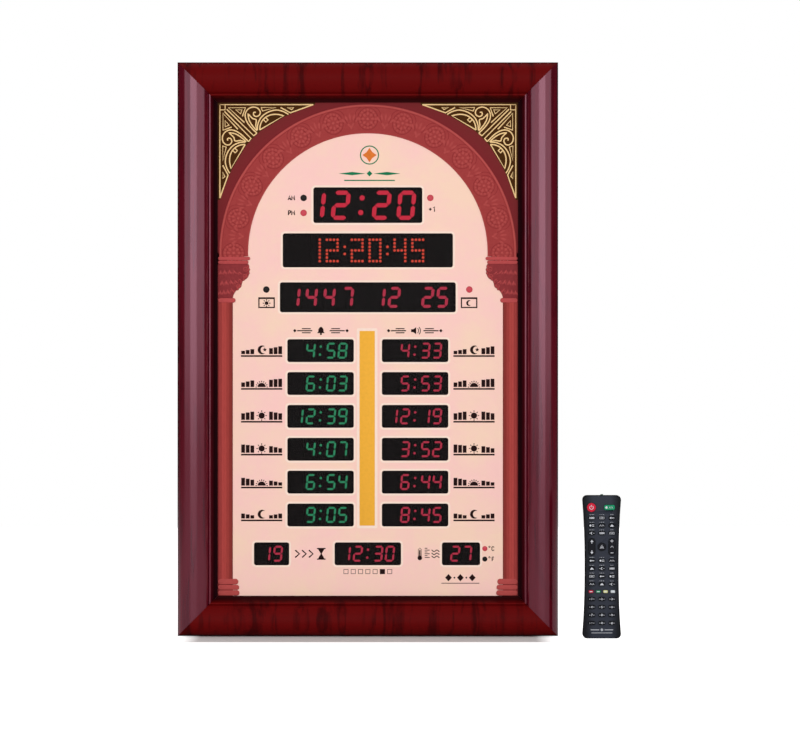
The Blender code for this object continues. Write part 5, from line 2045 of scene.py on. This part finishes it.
    def face_print(self) -> None:
        """The small marks over the keys and the rule at the foot."""
        mesh = bmesh.new()
        for node in NODES:
            if not ("_function_" in node or "_setting_" in node):
                continue
            low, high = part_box(node)
            mark = Stencil(
                mesh, ((low.x + high.x) / 2, high.z - self.flange + 1.75 * MM),
                self.face_y + 0.01 * MM, 0.05 * MM)
            number = int(node.rsplit("_", 1)[1])
            for x in range(-3, 4):
                if (x + number) % 3:
                    mark.bar(x * 0.8 - 0.3, -0.4, x * 0.8 + 0.3, 0.4 if (x * number) % 2 else 0.15)
        foot = Stencil(mesh, (self.x, 10.9 * MM), self.face_y + 0.01 * MM, 0.05 * MM)
        foot.shape([(0, 2.0), (1.9, 0), (0, -2.0), (-1.9, 0)])
        for way in (-1, 1):
            foot.bar(min(way * 3.4, way * 14), -0.5, max(way * 3.4, way * 14), 0.5)
        foot.bar(-13, -4.2, 13, -3.5)
        make_piece("remote_face_print", mesh, PRINT_GREY, Body.REMOTE, None)

    def build(self) -> None:
        """Builds the remote."""
        shell = RemotePlastic()
        merged_copy("remote_upper_shell", "remote_upper_shell_dressed", shell, Body.REMOTE, 32.0)
        merged_copy("remote_lower_shell", "remote_lower_shell_dressed", shell, Body.REMOTE, 32.0)
        merged_copy("remote_battery_cover", "battery_cover_dressed", shell, Body.BATTERY_COVER, 32.0)
        for node in NODES:
            if "_key_" in node or "_rocker_" in node:
                self.cap(node)
        self.face_print()


@dataclass(frozen=True)
class RemotePlastic(Finish):
    """The remote's shell: near black, with painted light greying the flat of its face, most down its middle.
    """

    slot = "remote_plastic"

    def build(self) -> bpy.types.Material:
        """Makes the material."""
        tree = ShaderTree("remote_plastic")
        place = tree.coordinates()
        x, y, _ = tree.axes(place)
        low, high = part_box("remote_upper_shell")
        middle = (low.x + high.x) / 2
        reach = tree.math("ABSOLUTE", x - middle)
        # Painted light: the flat of the face is painted greyer, most down its middle, while the sides stay
        # near black.
        painted_light_on_face = tree.levels(y, low.y + 1.2 * MM, low.y + 0.2 * MM)
        centre = tree.levels(reach, 20.5 * MM, 11.0 * MM)
        grain = tree.noise(place, 1500.0, 2.0)
        colour = tree.mix(painted_light_on_face * (0.15 + centre * 0.85), ink(13, 14, 16), ink(50, 54, 65))
        return tree.surface(
            Base_Color=colour, Roughness=0.42 + grain * 0.12, Specular_IOR_Level=0.12,
            Normal=tree.bump(grain, 0.15, 0.04 * MM))


LEGEND = Ink("legend_white", ink(216, 219, 226), 0.03)
PRINT_GREY = Ink("print_grey", ink(188, 191, 198), 0.03)


# Carried-over solids


@dataclass(frozen=True)
class DisplayBoard(Finish):
    """A display board: black LED modules in front and green solder mask behind."""

    slot = "circuit_board"

    def build(self) -> bpy.types.Material:
        """Makes the material."""
        tree = ShaderTree("display_board")
        place = tree.coordinates()
        _, y, _ = tree.axes(place)
        low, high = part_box("upper_display_board")
        mask = tree.levels(y, low.y + 7.9 * MM, low.y + 8.0 * MM)
        fine = tree.noise(place, 700.0, 2.0)
        brick = tree.node(
            "ShaderNodeTexBrick", {"offset": 0.5}, {"Vector": place, "Scale": 70.0, "Mortar Size": 0.04})
        green = tree.mix(Value(tree, brick.outputs["Fac"]), ink(18, 66, 44), ink(34, 100, 66))
        colour = tree.mix(mask, tree.mix(fine, ink(20, 18, 19), ink(28, 25, 26)), green)
        return tree.surface(Base_Color=colour, Roughness=0.5 + fine * 0.1)


@dataclass(frozen=True)
class CellSleeve(Finish):
    """A dry cell's printed sleeve, with bare metal at its ends."""

    slot = "cell_sleeve"

    def build(self) -> bpy.types.Material:
        """Makes the material."""
        tree = ShaderTree("cell_sleeve")
        place = tree.coordinates()
        _, _, z = tree.axes(place)
        low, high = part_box("remote_cell_1")
        length = high.z - low.z
        stops = (
            (0.0, ink(190, 190, 186)), (0.03, ink(34, 36, 40)), (0.62, ink(34, 36, 40)),
            (0.63, ink(196, 138, 58)), (0.95, ink(196, 138, 58)), (0.96, ink(190, 190, 186)))
        wear = tree.noise(place, 400.0, 2.0)
        return tree.surface(
            Base_Color=tree.ramp((z - low.z) / length, stops), Metallic=0.5, Roughness=0.25 + wear * 0.15)


def dress_solids() -> None:
    """Gives every CAD node that still shows its finish."""
    finishes = {
        "printed_overlay": CreamPrint(),
        "smoked_window_sheet": SmokedAcrylic(),
        "upper_display_board": DisplayBoard(),
        "prayer_display_board": DisplayBoard(),
        "footer_display_board": DisplayBoard(),
        "rear_cover": Plastic("rear_board", ink(52, 50, 49), 0.6, "rear_board", 0.35, 900.0),
        "remote_circuit_board": CircuitBoard(),
        "remote_cell_1": CellSleeve(),
        "remote_cell_2": CellSleeve(),
    }
    for name, node in NODES.items():
        if name in finishes:
            node.data.materials.clear()
            node.data.materials.append(finishes[name].material())
        elif not node.hide_render:
            raise ValueError(f"{name} has no finish")


# The studio


@dataclass
class Studio:
    """The camera, the lamps, the white surroundings and the floor."""

    picture_width: float = 1.00928
    centre: Point = (0.0406, 0.3420)
    distance: float = 6.0
    plane_y: float = -0.006
    sensor: float = 36.0
    front_distance: float = 6.4
    front_size: Point = (4.2, 1.9)
    front_rise: float = 1.15
    front_power: float = 70.0
    box_reach: float = 2.2
    box_depth: float = -2.5
    box_size: Point = (2.9, 1.4)
    box_rise: float = 0.97
    box_power: float = 15.8
    top_power: float = 5.0
    ambient: float = 0.76
    glossy_share: float = 0.02
    # The strip round the clock where the floor's white glow is left out, as painted shadow.
    shadow_reach: float = 0.13
    shadow_half_width: float = 0.240
    shadow_fade: float = 0.03

    def camera(self) -> None:
        """The camera, level and square to the clock."""
        data = bpy.data.cameras.new("camera")
        data.sensor_width = self.sensor
        data.lens = self.sensor * self.distance / self.picture_width
        data.clip_end = 100.0
        camera = bpy.data.objects.new("camera", data)
        camera.location = (self.centre[0], self.plane_y - self.distance, self.centre[1])
        camera.rotation_euler = (math.pi / 2, 0, 0)
        bpy.context.scene.collection.objects.link(camera)
        bpy.context.scene.camera = camera

    def lamp(self, name: str, place: Vector, aim: Vector, size: Point, power: float) -> None:
        """A rectangular soft box."""
        data = bpy.data.lights.new(name, "AREA")
        data.shape = "RECTANGLE"
        data.size, data.size_y = size
        data.energy = power
        lamp = bpy.data.objects.new(name, data)
        lamp.location = place
        lamp.rotation_euler = (aim - place).to_track_quat("-Z", "Y").to_euler()
        bpy.context.scene.collection.objects.link(lamp)

    def world(self) -> None:
        """White for the camera, and a dim even light for all else."""
        world = bpy.data.worlds.new("surroundings")
        bpy.context.scene.world = world
        world.use_nodes = True
        tree = ShaderTree.__new__(ShaderTree)
        tree.nodes = world.node_tree.nodes
        tree.links = world.node_tree.links
        tree.nodes.clear()
        path = tree.node("ShaderNodeLightPath")
        camera = Value(tree, path.outputs["Is Camera Ray"])
        through = Value(tree, path.outputs["Is Transmission Ray"])
        glossy = Value(tree, path.outputs["Is Glossy Ray"])
        seen = tree.math("MAXIMUM", camera, through)
        strength = seen + (1 - seen) * (glossy * self.glossy_share + (1 - glossy) * self.ambient)
        background = tree.node(
            "ShaderNodeBackground", inputs={"Color": (1.0, 1.0, 1.0), "Strength": strength})
        output = tree.node("ShaderNodeOutputWorld")
        tree.links.new(background.outputs[0], output.inputs["Surface"])

    def floor(self) -> None:
        """A white floor, painted with a shadow round the clock where its camera-only white glow is left out,
        and plain white further out.
        """
        mesh = bmesh.new()
        bmesh.ops.create_grid(mesh, x_segments=1, y_segments=1, size=4.0)
        data = bpy.data.meshes.new("floor")
        mesh.to_mesh(data)
        mesh.free()
        floor = bpy.data.objects.new("floor", data)
        bpy.context.scene.collection.objects.link(floor)
        tree = ShaderTree("white_floor_painted_shadow")
        x, y, _ = tree.axes(tree.coordinates())
        path = tree.node("ShaderNodeLightPath")
        seen = Value(tree, path.outputs["Is Camera Ray"])
        # Painted shadow: inside the strip the floor gets no glow and shows darker, over the real shadow.
        past_painted_shadow_depth = tree.levels(
            tree.math("ABSOLUTE", y), self.shadow_reach, self.shadow_reach + self.shadow_fade)
        past_painted_shadow_width = tree.levels(
            tree.math("ABSOLUTE", x), self.shadow_half_width - self.shadow_fade, self.shadow_half_width)
        glow = seen * tree.math("MAXIMUM", past_painted_shadow_depth, past_painted_shadow_width)
        # The grey base colour darkens the painted shadow strip; outside it the glow makes the floor white.
        data.materials.append(tree.surface(
            Base_Color=ink(206, 203, 203), Roughness=0.9, Specular_IOR_Level=0.0,
            Emission_Color=(1.0, 1.0, 1.0), Emission_Strength=glow))

    def build(self) -> None:
        """Sets up the studio."""
        self.camera()
        aim = Vector((0.0, 0.0, 0.36))
        front = Vector((0.0, -self.front_distance, self.front_rise))
        self.lamp("front_box", front, Vector((0.0, 0.0, self.front_rise)), self.front_size, self.front_power)
        for side in (-1, 1):
            self.lamp(
                "side_box", Vector((side * self.box_reach, self.box_depth, self.box_rise)),
                Vector((0.0, 0.0, self.box_rise)), self.box_size, self.box_power)
        self.lamp("top_box", Vector((0.05, 0.75, 2.4)), aim, (2.4, 0.9), self.top_power)
        self.world()
        self.floor()
        bpy.context.scene.view_settings.view_transform = "Standard"


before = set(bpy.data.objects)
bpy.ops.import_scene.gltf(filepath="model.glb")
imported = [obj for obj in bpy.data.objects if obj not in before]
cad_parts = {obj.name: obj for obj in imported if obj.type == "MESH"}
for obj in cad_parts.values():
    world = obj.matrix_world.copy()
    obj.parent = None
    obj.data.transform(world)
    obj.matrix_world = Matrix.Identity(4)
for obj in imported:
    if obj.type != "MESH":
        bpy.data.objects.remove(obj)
NODES: dict[str, bpy.types.Object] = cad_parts


def main() -> None:
    """Builds the scene."""
    logging.basicConfig(level=logging.INFO, format="%(message)s")
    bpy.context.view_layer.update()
    face = Face()
    Studio().build()
    FramePieces().build()
    Arch(face).build()
    Columns(face).build()
    CornerBrackets(face).build()
    Labels(face).build()
    Displays(face).build()
    Back().build()
    Remote().build()
    dress_solids()


if __name__ == "__main__":
    main()
